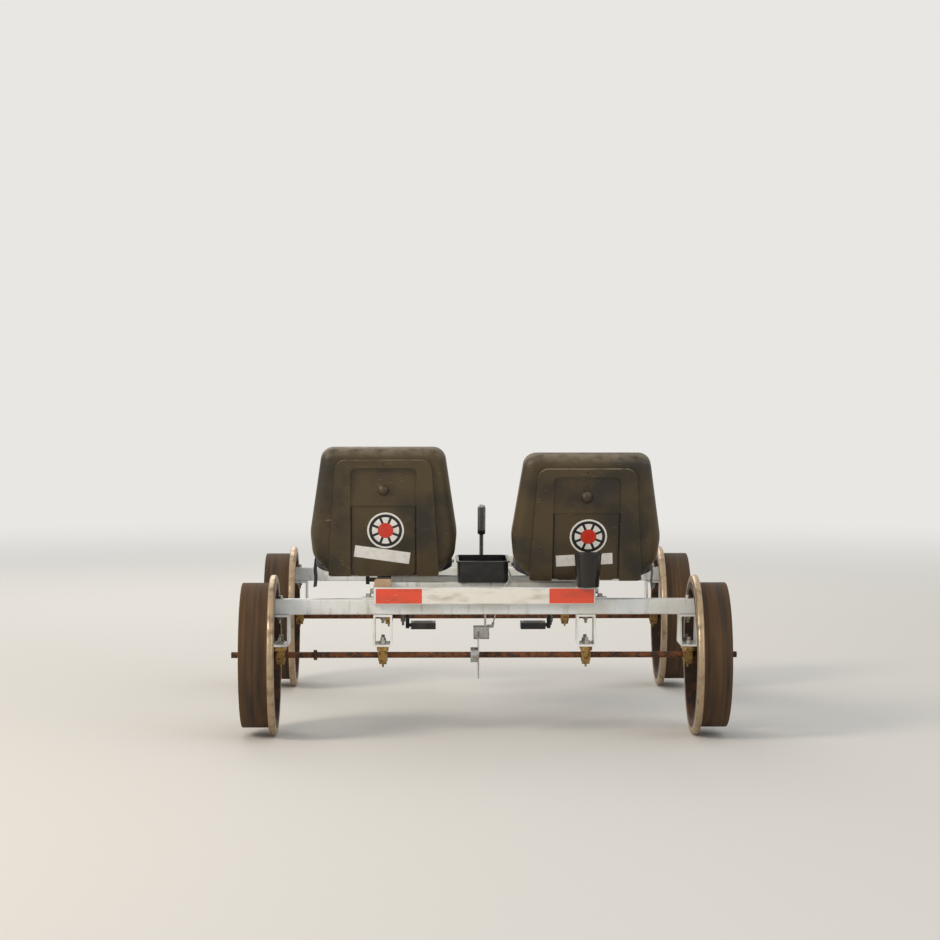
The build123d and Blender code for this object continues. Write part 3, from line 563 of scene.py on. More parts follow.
@dataclass(frozen=True)
class Studio:
    """Plain pale floor, soft lamps, and the camera where the photograph was taken from."""

    photo_px: float = 940.0
    focal_px: float = 2768.0
    straight_ahead_px: tuple[float, float] = (427.0, 360.0)
    eye: Place = (-0.19, -9.87, 1.245)
    sensor_mm: float = 36.0
    floor_half: float = 60.0
    haze_from: float = 3.0
    haze_to: float = 12.0
    floor_colour: str = "#e3e1dc"
    backdrop: str = "#e9e7e3"
    world_light: float = 0.55
    lit_point: Place = (0.0, 0.0, 0.4)
    lamps: tuple[tuple[str, Place, float, float, str], ...] = (
        ("key", (-6.3, -4.5, 4.8), 2.8, 330.0, "#fff1de"),
        ("fill", (5.5, -5.0, 3.2), 4.0, 60.0, "#eef3ff"),
        ("back", (-1.5, 5.5, 4.5), 4.0, 110.0, "#fffaf2"),
    )

    def build(self) -> None:
        """Make the floor, the light and the camera."""
        self.floor()
        self.light()
        self.camera()

    def floor(self) -> None:
        """Lay a wide matt floor at the wheels' lowest point."""
        bpy.ops.mesh.primitive_circle_add(vertices=64, radius=self.floor_half, fill_type="NGON")
        ground = bpy.context.object
        ground.name = "studio_floor"
        sheet = Sheet("matt_studio_paper")
        sheet.fill(base_color=self.floor_colour, roughness=0.95)
        far = sheet.ramp(sheet.length(sheet.spot), self.haze_from, self.haze_to, eased=True)
        haze = sheet.both(far, sheet.add("LightPath").outputs["Is Camera Ray"])
        glow = sheet.add("Emission", {"Color": self.backdrop})
        mixed = sheet.add("MixShader", {0: haze, 1: sheet.surface.outputs[0], 2: glow.outputs[0]})
        sheet.tree.links.new(mixed.outputs[0], sheet.tree.get_output_node("ALL").inputs["Surface"])
        ground.data.materials.append(sheet.material)

    def light(self) -> None:
        """Set a plain sky and three soft lamps that point at the middle of the object."""
        world = bpy.data.worlds.new("studio")
        bpy.context.scene.world = world
        world.use_nodes = True
        tree = world.node_tree
        tree.nodes.clear()
        path = add_node(tree, "LightPath").outputs
        seen = path["Is Camera Ray"]
        for name in ("Is Glossy Ray", "Is Transmission Ray"):
            both = {0: seen, 1: path[name]}
            seen = add_node(tree, "Math", both, operation="ADD", use_clamp=True).outputs[0]
        plain = add_node(tree, "Background", {"Color": "#ffffff", "Strength": self.world_light})
        shown = add_node(tree, "Background", {"Color": self.backdrop, "Strength": 1.0})
        mixed = add_node(tree, "MixShader", {0: seen, 1: plain.outputs[0], 2: shown.outputs[0]})
        add_node(tree, "OutputWorld", {"Surface": mixed.outputs[0]})
        for name, place, size, power, colour in self.lamps:
            lamp = bpy.data.lights.new(name, "AREA")
            lamp.size, lamp.energy, lamp.color = size, power, linear(colour)[:3]
            self.stand(lamp, Vector(place), Vector(self.lit_point) - Vector(place))

    def camera(self) -> None:
        """Stand the camera where the two axles' sizes in the photograph put it."""
        lens = bpy.data.cameras.new("photo_camera")
        lens.sensor_width = self.sensor_mm
        lens.lens = self.focal_px / self.photo_px * self.sensor_mm
        lens.clip_end = 4 * self.floor_half
        ahead_x, ahead_y = self.straight_ahead_px
        middle = self.photo_px / 2
        gaze = Vector(((middle - ahead_x) / self.focal_px, 1.0, (ahead_y - middle) / self.focal_px))
        bpy.context.scene.camera = self.stand(lens, Vector(self.eye), gaze)
        bpy.context.scene.view_settings.view_transform = "Standard"

    def stand(self, data: bpy.types.ID, place: Vector, gaze: Vector) -> Object:
        """Stand a lamp or a camera at a place, turned along its gaze."""
        holder = bpy.data.objects.new(data.name, data)
        bpy.context.scene.collection.objects.link(holder)
        holder.location = place
        holder.rotation_euler = gaze.to_track_quat("-Z", "Y").to_euler()
        return holder


ENAMEL = BrushedEnamel("brushed_alkyd_enamel")
WHEEL = WheelSteel("cast_wheel_steel")
TREAD = TreadRubber("vulcanised_tread_rubber")
RUSTED = RustedSteel("weathered_steel_bar")
CAST = CastIron("zinc_washed_cast_iron")
ZINC = ZincPlate("zinc_plated_steel")
SHELL = MouldedShell("moulded_polypropylene")
VINYL = GrainedVinyl("pvc_leathercloth")
SATIN = SatinBlack("black_anodised_aluminium")
OILY = OilySteel("oiled_carbon_steel")
NYLON = MouldedPlastic("moulded_nylon")
ABS = MouldedPlastic("moulded_abs", gloss=0.3, dusty=0.35)
GLAZE = MouldedPlastic("glossy_cup_plastic", plastic="#1b1815", dust="#5c4a30", gloss=0.07, dusty=0.1)
DISC = GroundSteel("ground_stainless_steel")
JACKET = MouldedPlastic("extruded_pvc_jacket", plastic="#d8d5ca", dust="#8a7a62")
# Tan that stands in for warm sunlight on the plates' pale paint: painted light, with the enamel's grime and rust
# over it.
SUNLIT_TAN_ENAMEL = BrushedEnamel("dusty_tan_primer", paint="#c0a384", aged="#ab8c6a", grime="#6d5238")

SLOT_FINISHES: dict[str, Finish] = {
    "white_paint": ENAMEL, "bearing_iron": CAST, "rusty_steel": RUSTED, "wheel_steel": WHEEL,
    "tread_rubber": TREAD, "zinc_steel": ZINC, "chain_steel": OILY, "crank_alloy": SATIN,
    "pedal_plastic": NYLON, "shell_plastic": SHELL, "black_plastic": ABS, "seat_vinyl": VINYL,
    "belt_webbing": NYLON, "cable_jacket": JACKET, "primed_plate": SUNLIT_TAN_ENAMEL,
}
NODE_FINISHES: dict[str, Finish] = {"brake_disc": DISC, "rear_cup": GLAZE}


class Part(Enum):
    """What an edit picks: points, edges or faces."""

    VERT = "verts"
    EDGE = "edges"
    FACE = "faces"


Test = Callable[[Vector, Vector], bool]
ENDS = SIDES = (-1, 1)
# How nearly a direction has to match, and how near a place, to be picked.
PARALLEL = 0.9
SAME_PLACE = 1e-5


def start(kind: str, **settings: object) -> Object:
    """Add a mesh primitive, alone in the selection.

    Args:
        kind: The primitive's name, such as cube or cylinder.
        **settings: Its size and place.

    Returns:
        The new object.
    """
    bpy.ops.object.select_all(action="DESELECT")
    getattr(bpy.ops.mesh, f"primitive_{kind}_add")(**settings)
    return bpy.context.object


def alone(piece: Object) -> Object:
    """Make a piece the active object and the only selected one."""
    bpy.ops.object.select_all(action="DESELECT")
    bpy.context.view_layer.objects.active = piece
    piece.select_set(True)
    return piece


def named(piece: Object, name: str) -> Object:
    """Give a piece and its mesh one name."""
    piece.name = piece.data.name = name
    return piece


@contextmanager
def editing(piece: Object) -> Iterator[None]:
    """Open a piece in edit mode with nothing selected, and close it afterwards."""
    alone(piece)
    bpy.ops.object.mode_set(mode="EDIT")
    bpy.ops.mesh.select_all(action="DESELECT")
    yield
    bpy.ops.object.mode_set(mode="OBJECT")


def pick(piece: Object, part: Part, test: Test) -> None:
    """Select the parts of the piece in edit mode that pass a test.

    Args:
        piece: The piece that is open in edit mode.
        part: Points, edges or faces.
        test: Takes a part's middle and its normal.
    """
    bpy.ops.mesh.select_mode(type=part.name)
    mesh = bmesh.from_edit_mesh(piece.data)
    for found in getattr(mesh, part.value):
        if part is Part.FACE:
            middle, normal = found.calc_center_median(), found.normal
        elif part is Part.EDGE:
            middle = (found.verts[0].co + found.verts[1].co) / 2
            normal = (found.verts[1].co - found.verts[0].co).normalized()
        else:
            middle, normal = found.co, found.normal
        found.select_set(test(middle, normal))
    mesh.select_flush_mode()
    bmesh.update_edit_mesh(piece.data)


def settle(piece: Object) -> Object:
    """Move a piece's place into its mesh, so that the object sits at the origin."""
    alone(piece)
    bpy.ops.object.transform_apply(location=True, rotation=True, scale=True)
    return piece


def block(size: Sequence[float], place: Sequence[float], turn_deg: float = 0.0, kind: str = "cube") -> Object:
    """Add a block, or a flat sheet, for an edit to work on.

    Args:
        size: Its width, depth and height.
        place: Its middle.
        turn_deg: Its turn about Z.
        kind: Cube, or plane for a sheet.

    Returns:
        The block, with its place in its mesh.
    """
    piece = start(kind, size=1.0)
    piece.scale, piece.location, piece.rotation_euler.z = size, place, math.radians(turn_deg)
    return settle(piece)


def round_edges(piece: Object, axis: Vector, radius: float, steps: int) -> None:
    """Round those edges of a piece that run along an axis.

    Args:
        piece: The piece, open in edit mode.
        axis: The edges' direction.
        radius: How far back the edges are cut.
        steps: How many faces the rounding has.
    """
    pick(piece, Part.EDGE, lambda _, run: abs(run.dot(axis)) > PARALLEL)
    bpy.ops.mesh.bevel(offset=radius, segments=steps)


def inset(piece: Object, axis: Vector, margin: float, rise: float) -> None:
    """Inset the face that looks along an axis, and lift it.

    Args:
        piece: The piece, open in edit mode.
        axis: Where the face looks.
        margin: Width of the rim left round it.
        rise: How far the inner face is lifted.
    """
    pick(piece, Part.FACE, lambda _, normal: normal.dot(axis) > PARALLEL)
    bpy.ops.mesh.inset(thickness=margin, depth=rise)


def slice_at(axis: Vector, place: float) -> None:
    """Cut the whole mesh in edit mode by a plane across an axis."""
    bpy.ops.mesh.select_all(action="SELECT")
    bpy.ops.mesh.bisect(plane_co=axis * place, plane_no=axis)


def cast(piece: Object, kind: str, **settings: object) -> Object:
    """Add one modifier to a piece and apply it.

    Args:
        piece: The piece to change.
        kind: The modifier's type.
        **settings: Its properties.

    Returns:
        The same piece.
    """
    alone(piece)
    modifier = piece.modifiers.new(kind.lower(), kind)
    for key, value in settings.items():
        setattr(modifier, key, value)
    bpy.ops.object.modifier_apply(modifier=modifier.name)
    return piece


def ease(piece: Object, width: float, steps: int) -> Object:
    """Bevel every sharp edge of a piece, by a width and in so many steps."""
    return cast(piece, "BEVEL", width=width, segments=steps, limit_method="ANGLE")


def copied(model: Object, place: Matrix) -> Object:
    """Copy a model with a mesh of its own, set at a place."""
    twin = bpy.data.objects.new(model.name, model.data.copy())
    twin.data.transform(place)
    if place.determinant() < 0:
        twin.data.flip_normals()
    bpy.context.scene.collection.objects.link(twin)
    return twin


def joined(name: str, pieces: Sequence[Object]) -> Object:
    """Join pieces into one and name it."""
    bpy.ops.object.select_all(action="DESELECT")
    for piece in pieces:
        piece.select_set(True)
    bpy.context.view_layer.objects.active = pieces[0]
    if len(pieces) > 1:
        bpy.ops.object.join()
    return named(pieces[0], name)


def repeated(name: str, model: Object, places: Sequence[Matrix]) -> Object:
    """Set a copy of a model at each place, join the copies and remove the model."""
    made = joined(name, [copied(model, place) for place in places])
    bpy.data.objects.remove(model)
    return made


def aimed(place: Sequence[float], direction: Place = (0, 0, 1), turn_deg: float = 0.0) -> Matrix:
    """Take a model that stands along Z to a place, pointing another way.

    Args:
        place: Where its foot goes.
        direction: Where its top points.
        turn_deg: Its turn about its own axis.

    Returns:
        The placing matrix.
    """
    tilt = Vector((0, 0, 1)).rotation_difference(Vector(direction)).to_matrix().to_4x4()
    return Matrix.Translation(place) @ tilt @ Matrix.Rotation(math.radians(turn_deg), 4, "Z")


def smooth(piece: Object, angle_deg: float = 35.0) -> Object:
    """Shade a piece smooth, with creases kept above an angle."""
    alone(piece)
    bpy.ops.object.shade_smooth_by_angle(angle=math.radians(angle_deg))
    return piece


def fitted(
    piece: Object, body: str, finish: Finish, replaces: Sequence[str] = ()
) -> Object:
    """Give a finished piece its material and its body.

    Args:
        piece: The piece, at its place.
        body: The body that carries it.
        finish: Its finish.
        replaces: The nodes that it stands for.

    Returns:
        The same piece.
    """
    piece.data.materials.clear()
    piece.data.materials.append(finish.material())
    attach(piece, body)
    if replaces:
        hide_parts(*replaces)
    LOG.info("%s: %d faces on %s", piece.name, len(getattr(piece.data, "polygons", ())), body)
    return piece


def catmull(points: Sequence[Vector], steps: int) -> list[Vector]:
    """Points along a smooth line through given points.

    Args:
        points: The given points.
        steps: How many steps each stretch is cut into.

    Returns:
        The points of the smooth line, both ends included.
    """
    line: list[Vector] = []
    padded = [points[0] * 2 - points[1], *points, points[-1] * 2 - points[-2]]
    for a, b, c, d in zip(padded, padded[1:], padded[2:], padded[3:]):
        for k in range(steps):
            t = k / steps
            bend = (2 * a - 5 * b + 4 * c - d) * t * t + (3 * b - a - 3 * c + d) * t ** 3
            line.append((2 * b + (c - a) * t + bend) / 2)
    return [*line, points[-1]]


def strap(
    name: str, route: Sequence[Vector], across: Vector, width: float, thickness: float = 1.6 * MM
) -> Object:
    """Lay a flat strap along a route by extruding its end edge step by step.

    Args:
        name: The piece's name.
        route: The middle line.
        across: Direction of the strap's width.
        width: Width of the webbing.
        thickness: Thickness of the webbing.

    Returns:
        The strap, with a UV map in metres along and across it.
    """
    half = across.normalized() * width / 2
    piece = start("plane", size=1.0)
    corners = [spot + edge for spot in route[:2] for edge in (-half, half)]
    for vert, corner in zip(piece.data.vertices, corners):
        vert.co = corner
    with editing(piece):
        pick(piece, Part.EDGE, lambda middle, _: (middle - route[1]).length < SAME_PLACE)
        for here, there in zip(route[1:], route[2:]):
            bpy.ops.mesh.extrude_region_move(TRANSFORM_OT_translate={"value": there - here})
    distances = [0.0]
    for here, there in zip(route, route[1:]):
        distances.append(distances[-1] + (there - here).length)
    uv = piece.data.uv_layers.active.data
    for loop in piece.data.loops:
        spot = piece.data.vertices[loop.vertex_index].co
        _, nearest, side = min(
            ((spot - side * half - point).length, k, side)
            for k, point in enumerate(route) for side in SIDES
        )
        uv[loop.index].uv = (distances[nearest], side * width / 2)
    return smooth(cast(named(piece, name), "SOLIDIFY", thickness=thickness, offset=0.0))


def height_finder(piece: Object) -> Callable[[float, float], float]:
    """Make a function that gives the highest Z of a piece's mesh above a place, or 0 off the piece."""
    mesh = piece.data
    tree = BVHTree.FromPolygons([v.co for v in mesh.vertices], [p.vertices for p in mesh.polygons])

    def top(x: float, y: float) -> float:
        hit = tree.ray_cast(Vector((x, y, 2.0)), Vector((0, 0, -1)))[0]
        return hit.z if hit else 0.0

    return top


def tube(
    name: str, line: Sequence[Sequence[float]], radius: float, section: int, bends: int, closed: bool
) -> Object:
    """Lay a round tube along a line, as a curve.

    Args:
        name: The piece's name.
        line: Points that steer it.
        radius: Its radius.
        section: Fineness of its round section.
        bends: Steps from one point to the next.
        closed: Whether it runs back into itself.

    Returns:
        The curve object.
    """
    curve = bpy.data.curves.new(name, "CURVE")
    curve.dimensions, curve.bevel_depth, curve.bevel_resolution = "3D", radius, section
    curve.use_fill_caps = not closed
    spline = curve.splines.new("NURBS")
    spline.points.add(len(line) - 1)
    for point, spot in zip(spline.points, line):
        point.co = (*spot, 1.0)
    spline.order_u, spline.resolution_u = 3, bends
    spline.use_cyclic_u, spline.use_endpoint_u = closed, not closed
    piece = bpy.data.objects.new(name, curve)
    bpy.context.scene.collection.objects.link(piece)
    return piece


@dataclass(frozen=True)
class Fastener:
    """Hexagon head or nut on a round washer, with the bolt's end standing through it."""

    flats: float = 17 * MM
    height: float = 9 * MM
    washer_radius: float = 14 * MM
    washer_thickness: float = 2 * MM
    stud_radius: float = 5 * MM
    stud_past: float = 0.0

    def model(self) -> Object:
        """Model one fastener standing on the origin along Z."""
        parts = [self.turned(20, self.washer_radius, 0, self.washer_thickness)]
        top = self.washer_thickness + self.height
        head = self.turned(6, self.flats / math.sqrt(3), self.washer_thickness, top)
        with editing(head):
            inset(head, ALONG_Z, self.flats * 0.08, self.height * 0.12)
        parts.append(head)
        if self.stud_past:
            stud = self.turned(12, self.stud_radius, top - self.height, top + self.stud_past)
            with editing(stud):
                inset(stud, ALONG_Z, self.stud_radius * 0.25, self.stud_radius * 0.2)
            parts.append(stud)
        return smooth(joined("fastener", parts), 25.0)

    def set_at(self, name: str, places: Sequence[Matrix], body: str = "frame") -> None:
        """Set a copy at each place, as one piece.

        Args:
            name: The piece's name.
            places: Where each copy goes.
            body: The body that carries them.
        """
        fitted(repeated(name, self.model(), places), body, BOLT)

    @staticmethod
    def turned(sides: int, radius: float, foot: float, top: float) -> Object:
        """Add an upright prism or cylinder from one height to another."""
        return settle(start(
            "cylinder", vertices=sides, radius=radius, depth=top - foot, location=(0, 0, (foot + top) / 2)
        ))


# A wave texture at scale 1 is this long from crest to crest.
UNIT_WAVE = 2 * math.pi / 20


@dataclass(frozen=True)
class Webbing(Finish):
    """Polyester seat webbing: ribs along it, fine picks across, a soft sheen and faded edges."""

    thread: str = "#1f1f22"
    faded: str = "#3a3a3c"
    rib_mm: float = 3.0
    pick_mm: float = 2.4

    def draw(self, sheet: Sheet) -> None:
        """Ribs and picks follow the strap's own UV map, a little coarser than real ones so that they show."""
        along = sheet.add("UVMap").outputs[0]
        rib, row = [
            sheet.add(
                "TexWave", {"Vector": along, "Scale": UNIT_WAVE / (gap_mm * MM)}, bands_direction=axis
            ).outputs["Fac"]
            for gap_mm, axis in ((self.rib_mm, "Y"), (self.pick_mm, "X"))
        ]
        faded = sheet.patches(35, 0.45, 0.7)
        sheet.relief((rib, 0.25), (row, 0.12))
        sheet.fill(
            base_color=sheet.layered(self.thread, (faded, self.faded), (sheet.both(rib, 0.25), self.faded)),
            roughness=0.78, sheen_weight=0.25, sheen_roughness=0.4,
        )


@dataclass(frozen=True)
class PrismTape(Finish):
    """Microprismatic reflective tape: small six-sided cells under a clear glossy film, dirty in its seams."""

    film: str = "#f5f1e6"
    seam: str = "#cdc6b8"
    grime: str = "#ab9e88"
    cell_mm: float = 5.0

    def draw(self, sheet: Sheet) -> None:
        """Cells with pale seams, and grime smeared along the strip."""
        cells = sheet.add("TexVoronoi", {
            "Vector": sheet.spot, "Scale": 1 / (self.cell_mm * MM), "Randomness": 0.15,
        }, feature="DISTANCE_TO_EDGE").outputs["Distance"]
        seams = sheet.ramp(cells, 0.09, 0.02)
        grime = sheet.both(sheet.patches(26, 0.45, 0.75, stretch=(3, 1, 1)), 0.55)
        chips = sheet.patches(9, 0.68, 0.72, stretch=(2, 1, 1))
        sheet.relief((seams, -0.08))
        sheet.fill(
            base_color=sheet.layered(
                self.film, (sheet.both(seams, 0.5), self.seam), (grime, self.grime), (chips, self.seam)
            ),
            roughness=sheet.layered(0.28, (grime, 0.6)), coat_weight=0.4, coat_roughness=0.15,
        )


@dataclass(frozen=True)
class PrintedVinyl(Finish):
    """Printed sticker vinyl: flat ink with a low gloss, yellowed a little and dusty."""

    ink: str = "#f1efea"
    aged: str = "#cfc8b8"

    def draw(self, sheet: Sheet) -> None:
        """Ageing in soft patches."""
        aged = sheet.both(sheet.patches(18, 0.42, 0.75), 0.45)
        sheet.relief((sheet.patches(4, 0.3, 0.7), 0.05))
        sheet.fill(base_color=sheet.layered(self.ink, (aged, self.aged)), roughness=0.42)


WEBBING = Webbing("woven_polyester_webbing")
BOLT = ZincPlate("bright_zinc_bolt", zinc="#cfccc4", bloom="#a19d93", shine=0.3)
TAPE_WHITE = PrismTape("white_prism_tape")
TAPE_RED = PrismTape("red_prism_tape", film="#ea4422", seam="#f08a6a", grime="#a8503a")
STICKER_WHITE = PrintedVinyl("white_sticker_vinyl")
STICKER_BLACK = PrintedVinyl("black_sticker_vinyl", ink="#1b1a1a", aged="#3a3733")
STICKER_RED = PrintedVinyl("red_sticker_vinyl", ink="#d8341f", aged="#b9533f")
REFLECTOR = PrintedVinyl("yellow_marker_enamel", ink="#d4d89c", aged="#a8a878")
RUBBER = MouldedPlastic("black_rubber", plastic="#1a1a1a", gloss=0.6, dusty=0.4)


# A hexagon looks the same again after this turn.
HEXAGON_TURN = 60


@dataclass(frozen=True)
class Underframe:
    """Bolts, tape and small fittings on the tubes, hangers and bearings."""

    axle_y: float = 0.7
    boom_x: float = 0.337
    outer_x: float = 0.677
    cleat_out: float = 47.4 * MM
    boom_half: float = 25.4 * MM
    cleat_wall: float = 6 * MM
    hanger_wall: float = 6.5 * MM
    bearing_bolt_reach: float = 47.5 * MM
    lever_foot_length: float = 44 * MM
    lever_lean_deg: float = 18.27
    clip_size: Place = (13 * MM, 19 * MM, 8 * MM)
    clip_step: float = 5 * MM
    clip_reach: float = 17 * MM
    clip_out: float = 13.5 * MM
    clip_bolt_back: float = 9 * MM
    grip_radius: float = 13 * MM
    grip_length: float = 98 * MM
    grip_ribs: int = 11
    grip_swell: float = 1.09
    grip_rim: float = 3 * MM
    grip_dish: float = 1.5 * MM
    grip_past_tip: float = 2 * MM
    lever_tip_back: float = 28 * MM
    lever_tip_down: float = 11.4 * MM
    tape_width: float = 49 * MM
    tape_thickness: float = 0.5 * MM
    tape_gap: float = 0.6 * MM
    tape_corner: float = 3 * MM
    tape_wider: float = 0.4 * MM
    tape_higher: float = 0.3 * MM
    tape_joints: tuple[float, ...] = (-0.360, -0.207, -0.0154, 0.214, 0.362)
    plate_size: Place = (80 * MM, 2.4 * MM, 43 * MM)
    plate_x: float = 12 * MM
    plate_corner: float = 6 * MM
    plate_rim: float = 1.2 * MM
    plate_crown: float = 0.6 * MM
    stud_step: float = 23 * MM
    stud_radius: float = 4.5 * MM
    stud_height: float = 3 * MM
    stud_out: float = 1.6 * MM
    stud_rim: float = 1.5 * MM
    stud_crown: float = 0.8 * MM

    def build(self) -> None:
        """Make every small fitting of the frame."""
        self.frame_bolts()
        self.bearing_nuts()
        for end in ENDS:
            self.tape(end)
        self.marker_plate()
        self.lever_clips()
        self.lever_grip()

    @property
    def hanger_spots(self) -> list[tuple[float, float]]:
        """The hangers' places, as x and y."""
        row = (-self.outer_x, -self.boom_x, self.boom_x, self.outer_x)
        return [(x, end * self.axle_y) for end in ENDS for x in row]

    def lever_clips(self) -> None:
        """Two bolted clips that hold the brake lever's foot down on the cross bar."""
        bar_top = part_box("centre_tray")[0].z
        foot_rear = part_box("brake_lever")[1].y - self.lever_foot_length
        _, depth, height = self.clip_size
        lip = bar_top + self.clip_step
        clip = block(self.clip_size, (0, foot_rear - depth / 2, bar_top + height / 2))
        with editing(clip):
            slice_at(ALONG_Z, lip)
            pick(clip, Part.FACE, lambda middle, normal: normal.y > PARALLEL and middle.z > lip)
            bpy.ops.mesh.extrude_region_move(TRANSFORM_OT_translate={"value": (0, self.clip_reach, 0)})
        ease(clip, 0.8 * MM, 2)
        sides = [Matrix.Translation((side * self.clip_out, 0, 0)) for side in SIDES]
        fitted(smooth(repeated("lever_clips", clip, sides)), "frame", BOLT)
        heads = Fastener(flats=10 * MM, height=5 * MM, washer_radius=6 * MM, washer_thickness=1.2 * MM)
        bolt_y = foot_rear - self.clip_bolt_back
        places = [aimed((side * self.clip_out, bolt_y, bar_top + height)) for side in SIDES]
        heads.set_at("lever_clip_bolts", places)

    def lever_grip(self) -> None:
        """A ribbed rubber sleeve over the brake lever's handle."""
        lean = math.radians(self.lever_lean_deg)
        along = Vector((0, -math.sin(lean), math.cos(lean)))
        tip_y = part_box("centre_tray")[1].y - self.lever_tip_back
        tip_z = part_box("brake_lever")[1].z - self.lever_tip_down
        grip = start("cylinder", vertices=28, radius=self.grip_radius, depth=self.grip_length)
        step = self.grip_length / (2 * self.grip_ribs)
        rings = [step * k - self.grip_length / 2 for k in range(1, 2 * self.grip_ribs)]
        ridges = rings[::2]
        with editing(grip):
            for place in rings:
                slice_at(ALONG_Z, place)
            pick(grip, Part.VERT, lambda spot, _: min(abs(spot.z - ridge) for ridge in ridges) < SAME_PLACE)
            bpy.ops.transform.resize(value=(self.grip_swell, self.grip_swell, 1))
            pick(grip, Part.FACE, lambda _, normal: abs(normal.z) > PARALLEL)
            bpy.ops.mesh.inset(thickness=self.grip_rim, depth=self.grip_dish)
        middle = Vector((0, tip_y, tip_z)) - along * (self.grip_length / 2 - self.grip_past_tip)
        grip.data.transform(aimed(middle, along))
        fitted(smooth(named(grip, "lever_grip"), 60.0), "frame", RUBBER)

    def frame_bolts(self) -> None:
        """Bolts down through hangers and cleats, and through the sides of the booms."""
        low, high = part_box("rear_beam")
        turn = random.Random(3)
        places: list[Matrix] = []
        for end in ENDS:
            y = end * self.axle_y
            for side in SIDES:
                spots = [((side * self.outer_x, y, high.z), (0, 0, 1))]
                for edge in SIDES:
                    boom = side * self.boom_x
                    wall = boom + edge * (self.boom_half + self.cleat_wall)
                    spots.append(((boom + edge * self.cleat_out, y, high.z + self.cleat_wall), (0, 0, 1)))
                    spots.append(((wall, y, high.z + self.boom_half), (edge, 0, 0)))
                places += [aimed(spot, facing, turn.uniform(0, HEXAGON_TURN)) for spot, facing in spots]
        Fastener(flats=15 * MM, height=8 * MM, washer_radius=10.5 * MM).set_at("frame_bolts", places)
        below = [
            aimed((x, y, low.z - self.hanger_wall), (0, 0, -1), turn.uniform(0, HEXAGON_TURN))
            for x, y in self.hanger_spots
        ]
        nuts = Fastener(flats=16 * MM, height=9 * MM, washer_radius=12 * MM, stud_past=12 * MM)
        nuts.set_at("hanger_top_nuts", below)

    def bearing_nuts(self) -> None:
        """Nuts on the hanger feet, over the bearings' bolts."""
        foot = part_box("rear_hangers")[0].z + self.hanger_wall
        turn = random.Random(7)
        places = [
            aimed((x, y + edge * self.bearing_bolt_reach, foot), turn_deg=turn.uniform(0, HEXAGON_TURN))
            for x, y in self.hanger_spots for edge in SIDES
        ]
        nuts = Fastener(
            flats=18 * MM, height=10 * MM, washer_radius=13 * MM, stud_past=10 * MM, stud_radius=6 * MM
        )
        nuts.set_at("bearing_nuts", places)

    def tape(self, end: int) -> None:
        """Strips of tape on a bumper's outer face: red at both ends, white between.

        Args:
            end: Minus one for the rear bumper, one for the front.
        """
        row = "rear" if end < 0 else "front"
        low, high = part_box(f"{row}_bumper")
        y = (low.y if end < 0 else high.y) + end * self.tape_thickness / 2
        middle = (low.z + high.z) / 2
        strips: dict[str, list[Object]] = {"red": [], "white": []}
        spans = list(zip(self.tape_joints, self.tape_joints[1:]))
        for k, (x0, x1) in enumerate(spans):
            # Every second strip was cut a little wider and laid a little higher.
            wider, higher = (self.tape_wider, self.tape_higher) if k % 2 else (0, 0)
            size = (x1 - x0 - self.tape_gap, self.tape_thickness, self.tape_width + wider)
            strip = block(size, ((x0 + x1) / 2, y, middle + higher))
            with editing(strip):
                round_edges(strip, ALONG_Y, self.tape_corner, 4)
            strips["red" if (x0, x1) in (spans[0], spans[-1]) else "white"].append(smooth(strip))
        for colour, finish in (("red", TAPE_RED), ("white", TAPE_WHITE)):
            fitted(joined(f"{row}_{colour}_tape", strips[colour]), "frame", finish)

    def marker_plate(self) -> None:
        """A small pale plate with three dark studs on the front beam's rear face."""
        low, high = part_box("front_beam")
        middle = Vector((self.plate_x, low.y - self.plate_size[1] / 2, (low.z + high.z) / 2))
        plate = block(self.plate_size, middle)
        with editing(plate):
            round_edges(plate, ALONG_Y, self.plate_corner, 5)
            inset(plate, -ALONG_Y, self.plate_rim, self.plate_crown)
        fitted(smooth(named(plate, "marker_plate")), "frame", REFLECTOR)
        stud = start("cylinder", vertices=20, radius=self.stud_radius, depth=self.stud_height)
        with editing(stud):
            inset(stud, ALONG_Z, self.stud_rim, self.stud_crown)
        places = [
            aimed(middle + Vector((step * self.stud_step, -self.stud_out, 0)), (0, -1, 0))
            for step in (-1, 0, 1)
        ]
        fitted(smooth(repeated("marker_studs", stud, places)), "frame", STICKER_BLACK)


def joint_place(name: str) -> Vector:
    """The place of a joint's axis in the frame."""
    return Vector(next(joint["pos_m"] for joint in frame["joints"] if joint["name"] == name))


# How many plate thicknesses the outer links' plates lie further out.
OUTER_PLATE_OUT = 1.08


